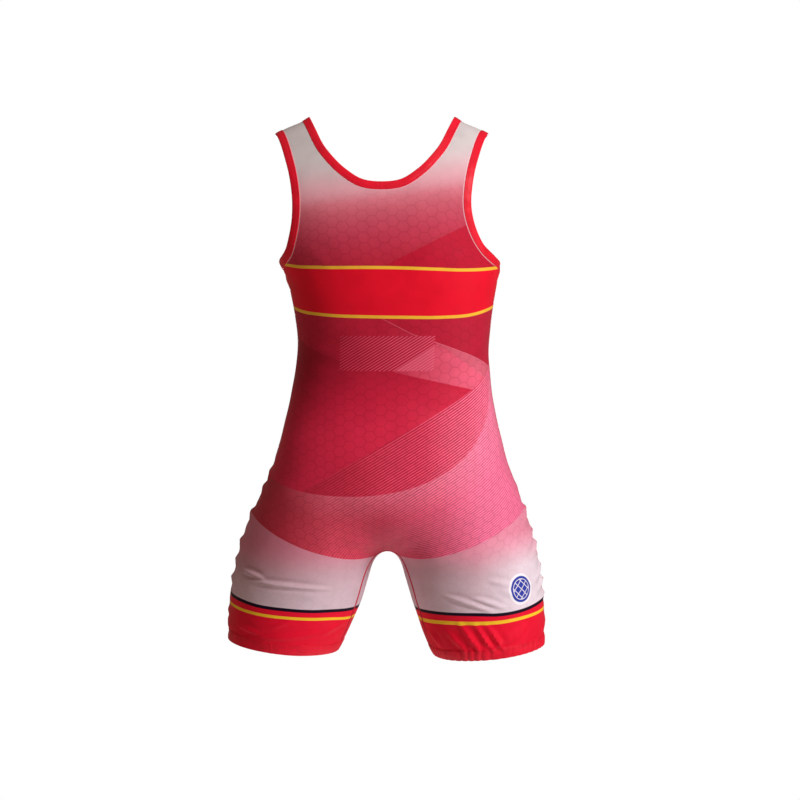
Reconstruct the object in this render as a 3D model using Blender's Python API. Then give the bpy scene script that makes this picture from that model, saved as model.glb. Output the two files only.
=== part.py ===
"""A sleeveless wrestling singlet in the form it has when worn, on a general figure that is left out.

Metres, +Z up. The front of the garment faces -Y, and the wearer's left is +X. The origin is midway
between the tops of the two shoulder straps, on the side of the cloth that lies on the shoulders.
"""

import bpy
import numpy as np

CLOTH = 0.0015
BINDING_THICK = 0.0024
BINDING_WIDE = 0.0116
HEM_THICK = 0.0024
HEM_TALL = 0.017
SEAM_GAP = 0.0003

# The torso of the figure, upwards: height, half width, back, front, squareness of the section.
TORSO = (
    (-0.640, 0.140, 0.090, -0.070, 2.3),
    (-0.580, 0.168, 0.112, -0.088, 2.3),
    (-0.530, 0.165, 0.120, -0.098, 2.3),
    (-0.480, 0.160, 0.112, -0.103, 2.3),
    (-0.430, 0.153, 0.099, -0.101, 2.3),
    (-0.380, 0.1435, 0.090, -0.100, 2.3),
    (-0.325, 0.1370, 0.092, -0.103, 2.3),
    (-0.270, 0.1405, 0.102, -0.110, 2.4),
    (-0.210, 0.1525, 0.112, -0.115, 2.5),
    (-0.150, 0.171, 0.114, -0.110, 2.5),
    (-0.100, 0.190, 0.108, -0.097, 2.5),
    (-0.050, 0.212, 0.096, -0.080, 2.5),
    (0.000, 0.230, 0.080, -0.064, 2.5),
    (0.060, 0.240, 0.068, -0.054, 2.5),
)
SEAT_FLOOR = -0.592
SEAT_ROUND = 0.080

# The shoulders slope outwards as a roof over the torso.
STRAP_MIDDLE = 0.1295
SHOULDER_RISE = 0.0005
SHOULDER_SLOPE = np.radians(21.5)
SHOULDER_ROUND = 0.100

# A leg: its axis runs down and outwards from the hip. Height on the axis, radius.
HIP = (0.0860, -0.002, -0.500)
LEG_SPLAY = np.radians(15.2)
LEG_DEPTH = 1.04
LEG = (
    (-0.800, 0.0730),
    (-0.770, 0.0750),
    (-0.752, 0.0780),
    (-0.735, 0.0830),
    (-0.720, 0.0865),
    (-0.690, 0.0915),
    (-0.660, 0.0950),
    (-0.630, 0.0958),
    (-0.600, 0.0940),
    (-0.570, 0.0885),
    (-0.540, 0.0800),
    (-0.510, 0.0680),
    (-0.450, 0.0480),
    (-0.360, 0.0200),
)
CROTCH_ROUND = 0.060
HIP_ROUND = 0.050

# The outer edge of the binding round the left armhole, from the top of the strap down the back.
ARMHOLE = (
    (0.1520, 0.000, -0.0110),
    (0.1465, 0.035, -0.0160),
    (0.1370, 0.065, -0.0400),
    (0.1290, 0.083, -0.0680),
    (0.1250, 0.092, -0.1030),
    (0.1290, 0.089, -0.1370),
    (0.1395, 0.076, -0.1660),
    (0.1560, 0.038, -0.1870),
    (0.1590, 0.000, -0.1930),
    (0.1560, -0.038, -0.1880),
    (0.1405, -0.072, -0.1690),
    (0.1290, -0.083, -0.1370),
    (0.1250, -0.081, -0.1020),
    (0.1280, -0.067, -0.0660),
    (0.1370, -0.047, -0.0370),
    (0.1465, -0.026, -0.0190),
)

# The inner edge of the neck binding, left half, from the middle of the back to the middle of the front.
NECKLINE = (
    (0.0000, 0.102, -0.0745),
    (0.0270, 0.101, -0.0710),
    (0.0500, 0.096, -0.0570),
    (0.0775, 0.077, -0.0290),
    (0.0940, 0.041, -0.0010),
    (0.1020, 0.005, 0.0130),
    (0.0985, -0.033, -0.0080),
    (0.0915, -0.061, -0.0350),
    (0.0800, -0.088, -0.0850),
    (0.0580, -0.103, -0.1300),
    (0.0300, -0.110, -0.1560),
    (0.0000, -0.112, -0.1650),
)

# The side seam, from the armhole to the hem band, and the middle of the back and of the front.
SIDE = (
    (0.1423, 0.0, -0.275),
    (0.1385, 0.0, -0.330),
    (0.1472, 0.0, -0.400),
    (0.1678, 0.0, -0.480),
    (0.1950, 0.0, -0.550),
    (0.2150, 0.0, -0.610),
    (0.2270, 0.0, -0.670),
)
CROTCH = (0.0, 0.027, -0.609)
BACK_MIDDLE = (
    (0.0, 0.1140, -0.150),
    (0.0, 0.1120, -0.210),
    (0.0, 0.1000, -0.280),
    (0.0, 0.0900, -0.350),
    (0.0, 0.0990, -0.430),
    (0.0, 0.1180, -0.510),
    (0.0, 0.0970, -0.570),
    (0.0, 0.0660, -0.597),
    CROTCH,
)
FRONT_MIDDLE = (
    (0.0, -0.1140, -0.230),
    (0.0, -0.1030, -0.330),
    (0.0, -0.1010, -0.430),
    (0.0, -0.0990, -0.520),
    (0.0, -0.0730, -0.575),
    (0.0, -0.0370, -0.607),
    CROTCH,
)
# The inseam of the left leg runs a little behind the innermost line.
INSEAM = (
    CROTCH,
    (0.0160, 0.029, -0.620),
    (0.0330, 0.037, -0.650),
    (0.0470, 0.036, -0.690),
    (0.0665, 0.024, -0.7420),
)
SHOULDER_SEAM_Y = -0.012
CROTCH_LEVEL = -0.600

# The figure leans a little: height, and how far it is moved to the wearer's left there.
LEAN = (
    (-0.790, -0.0055),
    (-0.720, -0.0060),
    (-0.640, -0.0068),
    (-0.580, -0.0085),
    (-0.500, -0.0120),
    (-0.430, -0.0128),
    (-0.370, -0.0140),
    (-0.310, -0.0160),
    (-0.250, -0.0160),
    (-0.215, -0.0143),
    (-0.185, -0.0095),
    (-0.155, -0.0038),
    (-0.120, -0.0006),
    (-0.080, 0.0),
    (0.060, 0.0),
)
# The right leg's cuff reaches lower than the left one's: the heights between which it is drawn down.
CUFF_DROP, CUFF_DROP_FROM, CUFF_DROP_TO = 0.0076, -0.696, -0.727

# The level of the cloth's end at the hem band, on the leg's axis. The outer end is a little higher.
CLOTH_END = -0.7340
HEM_TILT = 0.100
LEG_AT_HEM = (0.1470, -0.002)
INSEAM_TURN = np.radians(162.0)

COLUMNS = 10
STRAP_ROWS = 16
BACK_NECK_ROWS = 10
FRONT_NECK_ROWS = 13
BODY_ROWS = 20
LEG_ROWS = 7
# How many steps a curve has while it is worked out, and a row of a panel.
FINE = 800
ROW_FINE = 120
# How far a row's chord bulges to the back or front, under the arms and at the crotch.
ROW_BULGE = (0.04, 0.10)
# The least drop from the neckline's middle to the first point of the table below it.
MIDDLE_DROP = 0.02
# Rounds of moving points onto the figure, and of finding a ring round the leg.
SKIN_ROUNDS = 8
RING_ROUNDS = 30
SLOPE_STEP = 0.0005
# Keeps powers of a zero distance from dividing by zero.
TINY = 1e-6
SHARP_FROM = np.radians(50.0)

RED = (0.760, 0.012, 0.030)
CRIMSON = (0.520, 0.022, 0.060)
KNIT_ROUGHNESS = 0.60
EDGING_ROUGHNESS = 0.55


def clear_scene():
    for thing in list(bpy.data.objects):
        bpy.data.objects.remove(thing, do_unlink=True)


def through(table, column, at):
    """A smooth curve through one column of a table whose first column is its sorted key."""
    knots = np.array([row[0] for row in table])
    values = np.array([row[column] for row in table])
    slopes = np.gradient(values, knots)
    first = np.clip(np.searchsorted(knots, at) - 1, 0, len(knots) - 2)
    span = knots[first + 1] - knots[first]
    t = np.clip((at - knots[first]) / span, 0.0, 1.0)
    return (
        (1 + 2 * t) * (1 - t) ** 2 * values[first]
        + t * (1 - t) ** 2 * span * slopes[first]
        + t * t * (3 - 2 * t) * values[first + 1]
        - t * t * (1 - t) * span * slopes[first + 1]
    )


def union(one, other, rounding):
    """The nearer of two gaps, blended where they are within the rounding of each other."""
    near = np.maximum(rounding - np.abs(one - other), 0.0) / rounding
    return np.minimum(one, other) - near**2 * rounding / 4


def common(one, other, rounding):
    return -union(-one, -other, rounding)


def torso_gap(points):
    x, y, z = np.abs(points[:, 0]), points[:, 1], points[:, 2]
    half = through(TORSO, 1, z)
    back, front = through(TORSO, 2, z), through(TORSO, 3, z)
    power = through(TORSO, 4, z)
    deep = (back - front) / 2
    across = x / half + TINY
    along = np.abs(y - (back + front) / 2) / deep + TINY
    level = (across**power + along**power) ** (1 / power)
    steep = level ** (1 - power) * np.hypot(across ** (power - 1) / half, along ** (power - 1) / deep)
    return (level - 1) / steep


def leg_gap(points, side):
    x, y, z = points[:, 0] * side - HIP[0], points[:, 1] - HIP[1], points[:, 2] - HIP[2]
    outward = x * np.cos(LEG_SPLAY) + z * np.sin(LEG_SPLAY)
    down = z * np.cos(LEG_SPLAY) - x * np.sin(LEG_SPLAY)
    height = HIP[2] + down * np.cos(LEG_SPLAY)
    return np.hypot(outward, y / LEG_DEPTH) - through(LEG, 1, height)


def figure_gap(points):
    """How far each point is outside the figure, nearly, in metres."""
    x, z = np.abs(points[:, 0]), points[:, 2]
    roof = (z - SHOULDER_RISE) * np.cos(SHOULDER_SLOPE) + (x - STRAP_MIDDLE) * np.sin(SHOULDER_SLOPE)
    torso = common(torso_gap(points), roof, SHOULDER_ROUND)
    torso = common(torso, SEAT_FLOOR - z, SEAT_ROUND)
    legs = union(leg_gap(points, 1.0), leg_gap(points, -1.0), CROTCH_ROUND)
    return union(torso, legs, HIP_ROUND)


def uphill(points):
    """The direction away from the figure at each point, and its steepness there."""
    slope = np.empty_like(points)
    for axis in range(3):
        offset = np.zeros(3)
        offset[axis] = SLOPE_STEP
        slope[:, axis] = (figure_gap(points + offset) - figure_gap(points - offset)) / (2 * SLOPE_STEP)
    steepness = np.linalg.norm(slope, axis=1, keepdims=True)
    return slope / steepness, steepness


def on_figure(points, rounds=SKIN_ROUNDS):
    """The points moved onto the figure's skin."""
    shape = np.shape(points)
    flat = np.reshape(points, (-1, 3)).astype(float)
    for _ in range(rounds):
        normal, steepness = uphill(flat)
        flat = flat - normal * (figure_gap(flat)[:, None] / steepness)
    return flat.reshape(shape)


def normals(points):
    return uphill(np.reshape(points, (-1, 3)))[0].reshape(np.shape(points))


def posed(points):
    """Points of the upright and even garment, moved to where they are in the pose it is worn in."""
    moved = np.array(points, float)
    x, z = moved[..., 0].copy(), moved[..., 2].copy()
    share = np.clip((CUFF_DROP_FROM - z) / (CUFF_DROP_FROM - CUFF_DROP_TO), 0.0, 1.0)
    moved[..., 0] += through(LEAN, 1, z)
    moved[..., 2] -= CUFF_DROP * share**2 * (3 - 2 * share) * (x < 0)
    return moved


def lengths_along(line):
    steps = np.linalg.norm(np.diff(line, axis=0), axis=1)
    return np.concatenate(([0.0], np.cumsum(steps)))


def part_of(line, count, start=0.0, end=1.0):
    """A stretch of a line between two shares of its length, in that many even steps."""
    distance = lengths_along(line)
    wanted = np.linspace(start, end, count + 1) * distance[-1]
    return np.stack([np.interp(wanted, distance, line[:, axis]) for axis in range(3)], axis=1)


def smooth_line(points, closed=False):
    """A smooth curve through the points, on the figure, as a fine line."""
    points = np.array(points, float)
    extra = 3
    if closed:
        points = np.concatenate((points[-extra:], points, points[: extra + 1]))
    distance = lengths_along(points)
    table = np.column_stack((distance, points))
    ends = (distance[extra], distance[-extra - 1]) if closed else (0.0, distance[-1])
    at = np.linspace(*ends, FINE + 1)
    curve = np.stack([through(table, axis, at) for axis in (1, 2, 3)], axis=1)
    return part_of(on_figure(curve), FINE)


def inset(loop, distance):
    """A closed line moved sideways over the figure, to its left as seen from outside."""
    core = loop[:-1]
    ahead = np.roll(core, -1, axis=0) - np.roll(core, 1, axis=0)
    sideways = np.cross(normals(core), ahead)
    sideways /= np.linalg.norm(sideways, axis=1, keepdims=True)
    moved = on_figure(core + sideways * distance)
    return np.concatenate((moved, moved[:1]))


def crossing(loop, is_top):
    """Where on a closed loop it passes from back to front, at its top or at its bottom, as a step number."""
    level = SHOULDER_SEAM_Y if is_top else 0.0
    depth = loop[:, 1] - level
    found = np.nonzero(depth[:-1] * depth[1:] <= 0)[0]
    found = found[np.argmax(loop[found, 2])] if is_top else found[np.argmin(loop[found, 2])]
    return found + depth[found] / (depth[found] - depth[found + 1])


def at_steps(loop, steps):
    """Points of a closed loop at step numbers, which may run past its end."""
    whole = np.mod(steps, len(loop) - 1)
    numbers = np.arange(len(loop))
    return np.stack([np.interp(whole, numbers, loop[:, axis]) for axis in range(3)], axis=1)


def even_steps(loop, start, end, count):
    """That many rows from one step number to another, evenly spaced along the loop."""
    fine = np.linspace(start, end, FINE)
    distance = lengths_along(at_steps(loop, fine))
    return np.interp(np.linspace(0.0, distance[-1], count + 1), distance, fine)


class Edge:
    """A bound edge: the binding's free edge, its sewn edge, and the edge of the cloth beside that."""

    def __init__(self, points):
        self.free = smooth_line(points, closed=True)
        self.sewn = inset(self.free, BINDING_WIDE)
        self.cloth = inset(self.free, BINDING_WIDE + SEAM_GAP)


def armhole_rows(edge):
    """Step numbers of the rows down the back, and down the front, from the shoulder to under the arm."""
    top, base = crossing(edge.cloth, True), crossing(edge.cloth, False)
    if top > base:
        top -= FINE
    back = even_steps(edge.cloth, top, base, STRAP_ROWS)
    front = even_steps(edge.cloth, top + FINE, base, STRAP_ROWS)
    return back, front


def neckline_rows(edge):
    """Step numbers of the rows down the back, and down the front, from the left shoulder to the middle."""
    left = edge.cloth[: FINE // 2]
    top = crossing(left, True)
    back = even_steps(edge.cloth, top, 0.0, BACK_NECK_ROWS)
    front = even_steps(edge.cloth, top, FINE / 2, FRONT_NECK_ROWS)
    return back, front


def leg_ring(level, turns):
    """Points round the left leg in the hem's tilted plane, at turns from its outer side round by the back."""
    direction = np.stack((np.cos(turns), np.sin(turns), HEM_TILT * np.cos(turns)), axis=1)
    centre = np.array((*LEG_AT_HEM, level))
    radius = np.full(len(turns), LEG[0][1])
    for _ in range(RING_ROUNDS):
        radius = radius - figure_gap(centre + direction * radius[:, None])
    return centre + direction * radius[:, None]


def joined(*lines):
    return np.concatenate([lines[0]] + [line[1:] for line in lines[1:]])


def share_at_level(line, level):
    """How far along a falling line it reaches a height, as a share of its length."""
    distance = lengths_along(line)
    return np.interp(-level, -line[:, 2], distance) / distance[-1]


def side_points(top):
    below = smooth_line((top, *SIDE, leg_ring(CLOTH_END, np.zeros(1))[0]))
    crotch = share_at_level(below, CROTCH_LEVEL)
    return joined(part_of(below, BODY_ROWS, 0.0, crotch), part_of(below, LEG_ROWS, crotch, 1.0))


def middle_points(top, table, under_arm_level, neck_rows):
    below = [row for row in table if row[2] < top[2] - MIDDLE_DROP]
    line = smooth_line((top * (0, 1, 1), *below))
    level = share_at_level(line, under_arm_level)
    upper = part_of(line, STRAP_ROWS - neck_rows, 0.0, level)
    return joined(upper, part_of(line, BODY_ROWS, level, 1.0))


def inseam_points():
    end = leg_ring(CLOTH_END, np.array([INSEAM_TURN]))[0]
    return part_of(smooth_line((*INSEAM[:-1], end)), LEG_ROWS)


def row_over_figure(start, end, bulge):
    """Even steps over the figure from one point to another, by the way that a bulging chord shows."""
    share = np.linspace(0.0, 1.0, ROW_FINE + 1)[:, None]
    chord = start * (1 - share) + end * share
    chord[:, 1:2] += bulge * np.sin(np.pi * share)
    row = on_figure(chord)
    row[0], row[-1] = start, end
    return part_of(row, COLUMNS)


def half_panel(arm_points, neck_points, neck_rows, is_back):
    """The left half of a panel as rows of points, from its outer to its inner edge."""
    outer = joined(arm_points, side_points(arm_points[-1]))
    table = BACK_MIDDLE if is_back else FRONT_MIDDLE
    middle = middle_points(neck_points[-1], table, arm_points[-1, 2], neck_rows)
    inner = joined(neck_points, middle, inseam_points())
    rows = np.arange(len(outer))
    bulge = np.interp(rows, (0, STRAP_ROWS, STRAP_ROWS + BODY_ROWS), (0.0, *ROW_BULGE))
    bulge = bulge if is_back else -bulge
    grid = np.array([row_over_figure(*row) for row in zip(outer, inner, bulge, strict=True)])
    end = INSEAM_TURN if is_back else INSEAM_TURN - 2 * np.pi
    grid[-1] = part_of(leg_ring(CLOTH_END, np.linspace(0.0, end, FINE)), COLUMNS)
    return relaxed(grid)


def relaxed(grid, rounds=40):
    """The inner points of a grid evened out over the figure, with its edges left in place.

    Each moves to the mean of its neighbours, and the nearer pair of them counts for more.
    """
    tall = np.sum((grid[2:, 1:-1] - grid[:-2, 1:-1]) ** 2, axis=2, keepdims=True)
    wide = np.sum((grid[1:-1, 2:] - grid[1:-1, :-2]) ** 2, axis=2, keepdims=True)
    for _ in range(rounds):
        along = (grid[:-2, 1:-1] + grid[2:, 1:-1]) / 2
        across = (grid[1:-1, :-2] + grid[1:-1, 2:]) / 2
        grid[1:-1, 1:-1] = on_figure((along * wide + across * tall) / (wide + tall), 2)
    grid[1:-1, 1:-1] = on_figure(grid[1:-1, 1:-1])
    return grid


def seams_opened(grid):
    """The grid's sewn edges drawn in by half the gap of a seam; bound edges and the middle stay."""
    half = SEAM_GAP / 2
    opened = grid.copy()

    def draw_in(edge, inside):
        away = inside - edge
        return edge + away / np.linalg.norm(away, axis=-1, keepdims=True) * half

    opened[0] = draw_in(grid[0], grid[1])
    opened[STRAP_ROWS:, 0] = draw_in(grid[STRAP_ROWS:, 0], grid[STRAP_ROWS:, 1])
    crotch = STRAP_ROWS + BODY_ROWS
    opened[crotch:, -1] = draw_in(grid[crotch:, -1], grid[crotch:, -2])
    opened[crotch, -1] = draw_in(grid[crotch, -1], grid[crotch - 1, -1])
    return opened


def strip_faces(index, closed=False):
    """Faces between the rows of a table of point numbers. Closed joins its last row to its first."""
    ahead = np.roll(index, -1, axis=0) if closed else index[1:]
    here = index if closed else index[:-1]
    return np.stack((here[:, :-1], ahead[:, :-1], ahead[:, 1:], here[:, 1:]), axis=-1).reshape(-1, 4)


def both_halves(grid, neck_rows):
    """The points and faces of a panel from its left half. The halves share the points of the middle."""
    index = np.arange(grid.shape[0] * grid.shape[1]).reshape(grid.shape[:2])
    mirrored = index + index.size
    crotch = STRAP_ROWS + BODY_ROWS
    mirrored[neck_rows : crotch + 1, -1] = index[neck_rows : crotch + 1, -1]
    points = np.concatenate((grid.reshape(-1, 3), grid.reshape(-1, 3) * (-1, 1, 1)))
    return points, np.concatenate((strip_faces(index), strip_faces(mirrored)[:, ::-1]))


def facing_out(points, faces):
    """The faces of a sheet, all turned round if they look towards the figure."""
    corners = points[faces]
    looks = np.cross(corners[:, 2] - corners[:, 0], corners[:, 3] - corners[:, 1])
    outwards = np.sum(looks * normals(corners.mean(axis=1)), axis=1)
    return faces if np.median(outwards) > 0 else faces[:, ::-1]


def open_edges(faces):
    """Each edge of the sheet that only one face has, in that face's direction."""
    ends = np.stack((faces, np.roll(faces, -1, axis=1)), axis=-1).reshape(-1, 2)
    _, place, count = np.unique(np.sort(ends, axis=1), axis=0, return_inverse=True, return_counts=True)
    return ends[count[place.reshape(-1)] == 1]


def material(name, colour, roughness):
    made = bpy.data.materials.new(name)
    made.use_nodes = True
    shader = made.node_tree.nodes["Principled BSDF"]
    shader.inputs["Base Color"].default_value = (*colour, 1.0)
    shader.inputs["Roughness"].default_value = roughness
    shader.inputs["Metallic"].default_value = 0.0
    return made


def cloth(name, points, faces, thickness, made_of, lift=0.0):
    """A closed shell: the sheet of faces, lifted off the figure's skin, and given its thickness outwards."""
    used, renumbered = np.unique(faces, return_inverse=True)
    points, faces = points[used], renumbered.reshape(faces.shape)
    faces = facing_out(points, faces)
    away = normals(points)
    count = len(points)
    under, over = points + away * lift, points + away * (lift + thickness)
    rim = open_edges(faces)
    walls = np.stack((rim[:, 1], rim[:, 0], rim[:, 0] + count, rim[:, 1] + count), axis=1)
    mesh = bpy.data.meshes.new(name)
    mesh.from_pydata(
        posed(np.concatenate((over, under))).tolist(),
        [],
        faces.tolist() + (faces[:, ::-1] + count).tolist() + walls.tolist(),
    )
    mesh.materials.append(made_of)
    mesh.shade_smooth()
    mesh.set_sharp_from_angle(angle=SHARP_FROM)
    made = bpy.data.objects.new(name, mesh)
    bpy.context.scene.collection.objects.link(made)
    return made


def panel(name, grid, neck_rows, made_of):
    points, faces = both_halves(seams_opened(grid), neck_rows)
    return cloth(name, points, faces, CLOTH, made_of)


def binding(name, edge, steps, made_of, mirrored=False):
    """A folded binding: a band from its free edge to its sewn edge, all the way round."""
    free, sewn = at_steps(edge.free, steps), at_steps(edge.sewn, steps)
    middle = on_figure((free + sewn) / 2)
    grid = np.stack((free, middle, sewn), axis=1)
    if mirrored:
        grid = grid * (-1, 1, 1)
    index = np.arange(grid.shape[0] * grid.shape[1]).reshape(grid.shape[:2])
    lift = (CLOTH - BINDING_THICK) / 2
    return cloth(name, grid.reshape(-1, 3), strip_faces(index, True), BINDING_THICK, made_of, lift)


def hem_band(name, cloth_end, made_of, side):
    """The elastic hem: a short tube under the end of the cloth, with its corners under the cloth's."""
    turns = np.arctan2(cloth_end[:, 1] - LEG_AT_HEM[1], cloth_end[:, 0] - LEG_AT_HEM[0])
    top = CLOTH_END - SEAM_GAP
    levels = (top, top - HEM_TALL / 2, top - HEM_TALL)
    grid = np.stack([leg_ring(level, turns) for level in levels], axis=1) * (side, 1, 1)
    index = np.arange(grid.shape[0] * grid.shape[1]).reshape(grid.shape[:2])
    lift = (CLOTH - HEM_THICK) / 2
    return cloth(name, grid.reshape(-1, 3), strip_faces(index, True), HEM_THICK, made_of, lift)


def main():
    clear_scene()
    knit = material("printed knit", CRIMSON, KNIT_ROUGHNESS)
    edging = material("red binding", RED, EDGING_ROUGHNESS)
    elastic = material("red elastic hem", RED, EDGING_ROUGHNESS)

    arm = Edge(ARMHOLE)
    neck = Edge(np.concatenate((NECKLINE, np.array(NECKLINE)[-2:0:-1] * (-1, 1, 1))))
    arm_back, arm_front = armhole_rows(arm)
    neck_back, neck_front = neckline_rows(neck)
    back = half_panel(
        at_steps(arm.cloth, arm_back), at_steps(neck.cloth, neck_back), BACK_NECK_ROWS, True
    )
    front = half_panel(
        at_steps(arm.cloth, arm_front), at_steps(neck.cloth, neck_front), FRONT_NECK_ROWS, False
    )
    panel("back_panel", back, BACK_NECK_ROWS, knit)
    panel("front_panel", front, FRONT_NECK_ROWS, knit)
    neck_left = joined(neck_back[::-1], neck_front)
    neck_steps = joined(neck_left, FINE - neck_left[::-1])[:-1]
    binding("neck_binding", neck, neck_steps, edging)
    arm_steps = joined(arm_back, arm_front[::-1])[:-1]
    binding("armhole_binding_left", arm, arm_steps, edging)
    binding("armhole_binding_right", arm, arm_steps, edging, mirrored=True)
    cloth_end = joined(back[-1], front[-1, ::-1])[:-1]
    hem_band("hem_band_left", cloth_end, elastic, 1)
    hem_band("hem_band_right", cloth_end, elastic, -1)


if __name__ == "__main__":
    main()
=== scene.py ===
"""The looks of a sleeveless wrestling singlet in the form it has when worn.

It is made of printed stretch knit, with folded bindings round the neck and armholes, flatlock seams
and elastic hems. Metres, +Z up. The front of the garment faces -Y, and the wearer's left is +X.
"""

import bpy
import numpy as np
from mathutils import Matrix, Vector

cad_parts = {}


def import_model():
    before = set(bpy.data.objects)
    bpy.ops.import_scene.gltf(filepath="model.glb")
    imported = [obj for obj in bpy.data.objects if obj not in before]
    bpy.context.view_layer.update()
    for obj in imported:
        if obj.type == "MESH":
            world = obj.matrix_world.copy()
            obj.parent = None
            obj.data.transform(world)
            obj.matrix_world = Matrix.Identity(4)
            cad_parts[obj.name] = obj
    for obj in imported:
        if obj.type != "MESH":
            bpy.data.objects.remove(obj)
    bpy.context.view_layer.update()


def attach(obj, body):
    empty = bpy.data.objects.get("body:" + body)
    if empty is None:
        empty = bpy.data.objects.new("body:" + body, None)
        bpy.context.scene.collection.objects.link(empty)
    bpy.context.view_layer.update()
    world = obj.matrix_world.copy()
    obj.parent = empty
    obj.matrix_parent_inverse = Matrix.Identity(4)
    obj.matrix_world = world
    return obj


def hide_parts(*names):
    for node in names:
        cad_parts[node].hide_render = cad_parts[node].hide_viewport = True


SIDES = (("left", 1), ("right", -1))

KNIT_THICK = 0.0010
BINDING_THICK = 0.0026
BINDING_WIDE = 0.0116
HEM_THICK = 0.0026
HEM_TALL = 0.017
# How far the knit runs in under a binding or a hem band.
TUCK = 0.0020
# How far the middle of a binding or hem band stands off the skin.
BAND_LIFT = 0.0007

# The torso of the figure, upwards: height, half width, back, front, squareness of the section.
TORSO = (
    (-0.640, 0.140, 0.090, -0.070, 2.3),
    (-0.580, 0.168, 0.112, -0.088, 2.3),
    (-0.530, 0.165, 0.120, -0.098, 2.3),
    (-0.480, 0.160, 0.112, -0.103, 2.3),
    (-0.430, 0.153, 0.099, -0.101, 2.3),
    (-0.380, 0.1435, 0.090, -0.100, 2.3),
    (-0.325, 0.1370, 0.092, -0.103, 2.3),
    (-0.270, 0.1405, 0.102, -0.110, 2.4),
    (-0.210, 0.1525, 0.112, -0.115, 2.5),
    (-0.150, 0.171, 0.114, -0.110, 2.5),
    (-0.100, 0.190, 0.108, -0.097, 2.5),
    (-0.050, 0.212, 0.096, -0.080, 2.5),
    (0.000, 0.230, 0.080, -0.064, 2.5),
    (0.060, 0.240, 0.068, -0.054, 2.5),
)
# Where the torso ends between the legs, and how rounded it is there.
SEAT_FLOOR = -0.592
SEAT_ROUND = 0.080

# The shoulders slope outwards as a roof over the torso.
STRAP_MIDDLE = 0.1295
SHOULDER_RISE = 0.0005
SHOULDER_SLOPE = np.radians(21.5)
SHOULDER_ROUND = 0.100

# A leg: its axis runs down and outwards from the hip. Height on the axis, radius.
HIP = (0.0860, -0.002, -0.500)
LEG_SPLAY = np.radians(15.2)
LEG_DEPTH = 1.04
LEG = (
    (-0.800, 0.0730),
    (-0.770, 0.0750),
    (-0.752, 0.0780),
    (-0.735, 0.0830),
    (-0.720, 0.0865),
    (-0.690, 0.0915),
    (-0.660, 0.0950),
    (-0.630, 0.0958),
    (-0.600, 0.0940),
    (-0.570, 0.0885),
    (-0.540, 0.0800),
    (-0.510, 0.0680),
    (-0.450, 0.0480),
    (-0.360, 0.0200),
)
# How softly the legs meet each other, and the torso.
CROTCH_ROUND = 0.060
HIP_ROUND = 0.050

# The outer edge of the binding round the left armhole, from the top of the strap down the back.
ARMHOLE = (
    (0.1520, 0.000, -0.0110),
    (0.1465, 0.035, -0.0160),
    (0.1370, 0.065, -0.0400),
    (0.1290, 0.083, -0.0680),
    (0.1250, 0.092, -0.1030),
    (0.1290, 0.089, -0.1370),
    (0.1395, 0.076, -0.1660),
    (0.1560, 0.038, -0.1870),
    (0.1590, 0.000, -0.1930),
    (0.1560, -0.038, -0.1880),
    (0.1405, -0.072, -0.1690),
    (0.1290, -0.083, -0.1370),
    (0.1250, -0.081, -0.1020),
    (0.1280, -0.067, -0.0660),
    (0.1370, -0.047, -0.0370),
    (0.1465, -0.026, -0.0190),
)

# The inner edge of the neck binding, left half, from the middle of the back to the middle of the front.
NECKLINE = (
    (0.0000, 0.102, -0.0745),
    (0.0270, 0.101, -0.0710),
    (0.0500, 0.096, -0.0570),
    (0.0775, 0.077, -0.0290),
    (0.0940, 0.041, -0.0010),
    (0.1020, 0.005, 0.0130),
    (0.0985, -0.033, -0.0080),
    (0.0915, -0.061, -0.0350),
    (0.0800, -0.088, -0.0850),
    (0.0580, -0.103, -0.1300),
    (0.0300, -0.110, -0.1560),
    (0.0000, -0.112, -0.1650),
)

# The side seam, from the armhole to the hem band, and the middle of the back and of the front.
SIDE = (
    (0.1423, 0.0, -0.275),
    (0.1385, 0.0, -0.330),
    (0.1472, 0.0, -0.400),
    (0.1678, 0.0, -0.480),
    (0.1950, 0.0, -0.550),
    (0.2150, 0.0, -0.610),
    (0.2270, 0.0, -0.670),
)
CROTCH = (0.0, 0.027, -0.609)
BACK_MIDDLE = (
    (0.0, 0.1140, -0.150),
    (0.0, 0.1120, -0.210),
    (0.0, 0.1000, -0.280),
    (0.0, 0.0900, -0.350),
    (0.0, 0.0990, -0.430),
    (0.0, 0.1180, -0.510),
    (0.0, 0.0970, -0.570),
    (0.0, 0.0660, -0.597),
    CROTCH,
)
FRONT_MIDDLE = (
    (0.0, -0.1140, -0.230),
    (0.0, -0.1030, -0.330),
    (0.0, -0.1010, -0.430),
    (0.0, -0.0990, -0.520),
    (0.0, -0.0730, -0.575),
    (0.0, -0.0370, -0.607),
    CROTCH,
)
# The inseam of the left leg runs a little behind the innermost line.
INSEAM = (
    CROTCH,
    (0.0160, 0.029, -0.620),
    (0.0330, 0.037, -0.650),
    (0.0470, 0.036, -0.690),
    (0.0665, 0.024, -0.7420),
)
# Where the panels meet on the shoulder, and the level that a panel's row has at the crotch.
SHOULDER_SEAM_Y = -0.012
CROTCH_LEVEL = -0.600

# The figure leans a little: height, and how far it is moved to the wearer's left there.
LEAN = (
    (-0.790, -0.0055),
    (-0.720, -0.0060),
    (-0.640, -0.0068),
    (-0.580, -0.0085),
    (-0.500, -0.0120),
    (-0.430, -0.0128),
    (-0.370, -0.0140),
    (-0.310, -0.0160),
    (-0.250, -0.0160),
    (-0.215, -0.0143),
    (-0.185, -0.0095),
    (-0.155, -0.0038),
    (-0.120, -0.0006),
    (-0.080, 0.0),
    (0.060, 0.0),
)
# The right leg's cuff reaches lower than the left one's: the heights between which it is drawn down.
CUFF_DROP, CUFF_DROP_FROM, CUFF_DROP_TO = 0.0076, -0.696, -0.727

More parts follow.
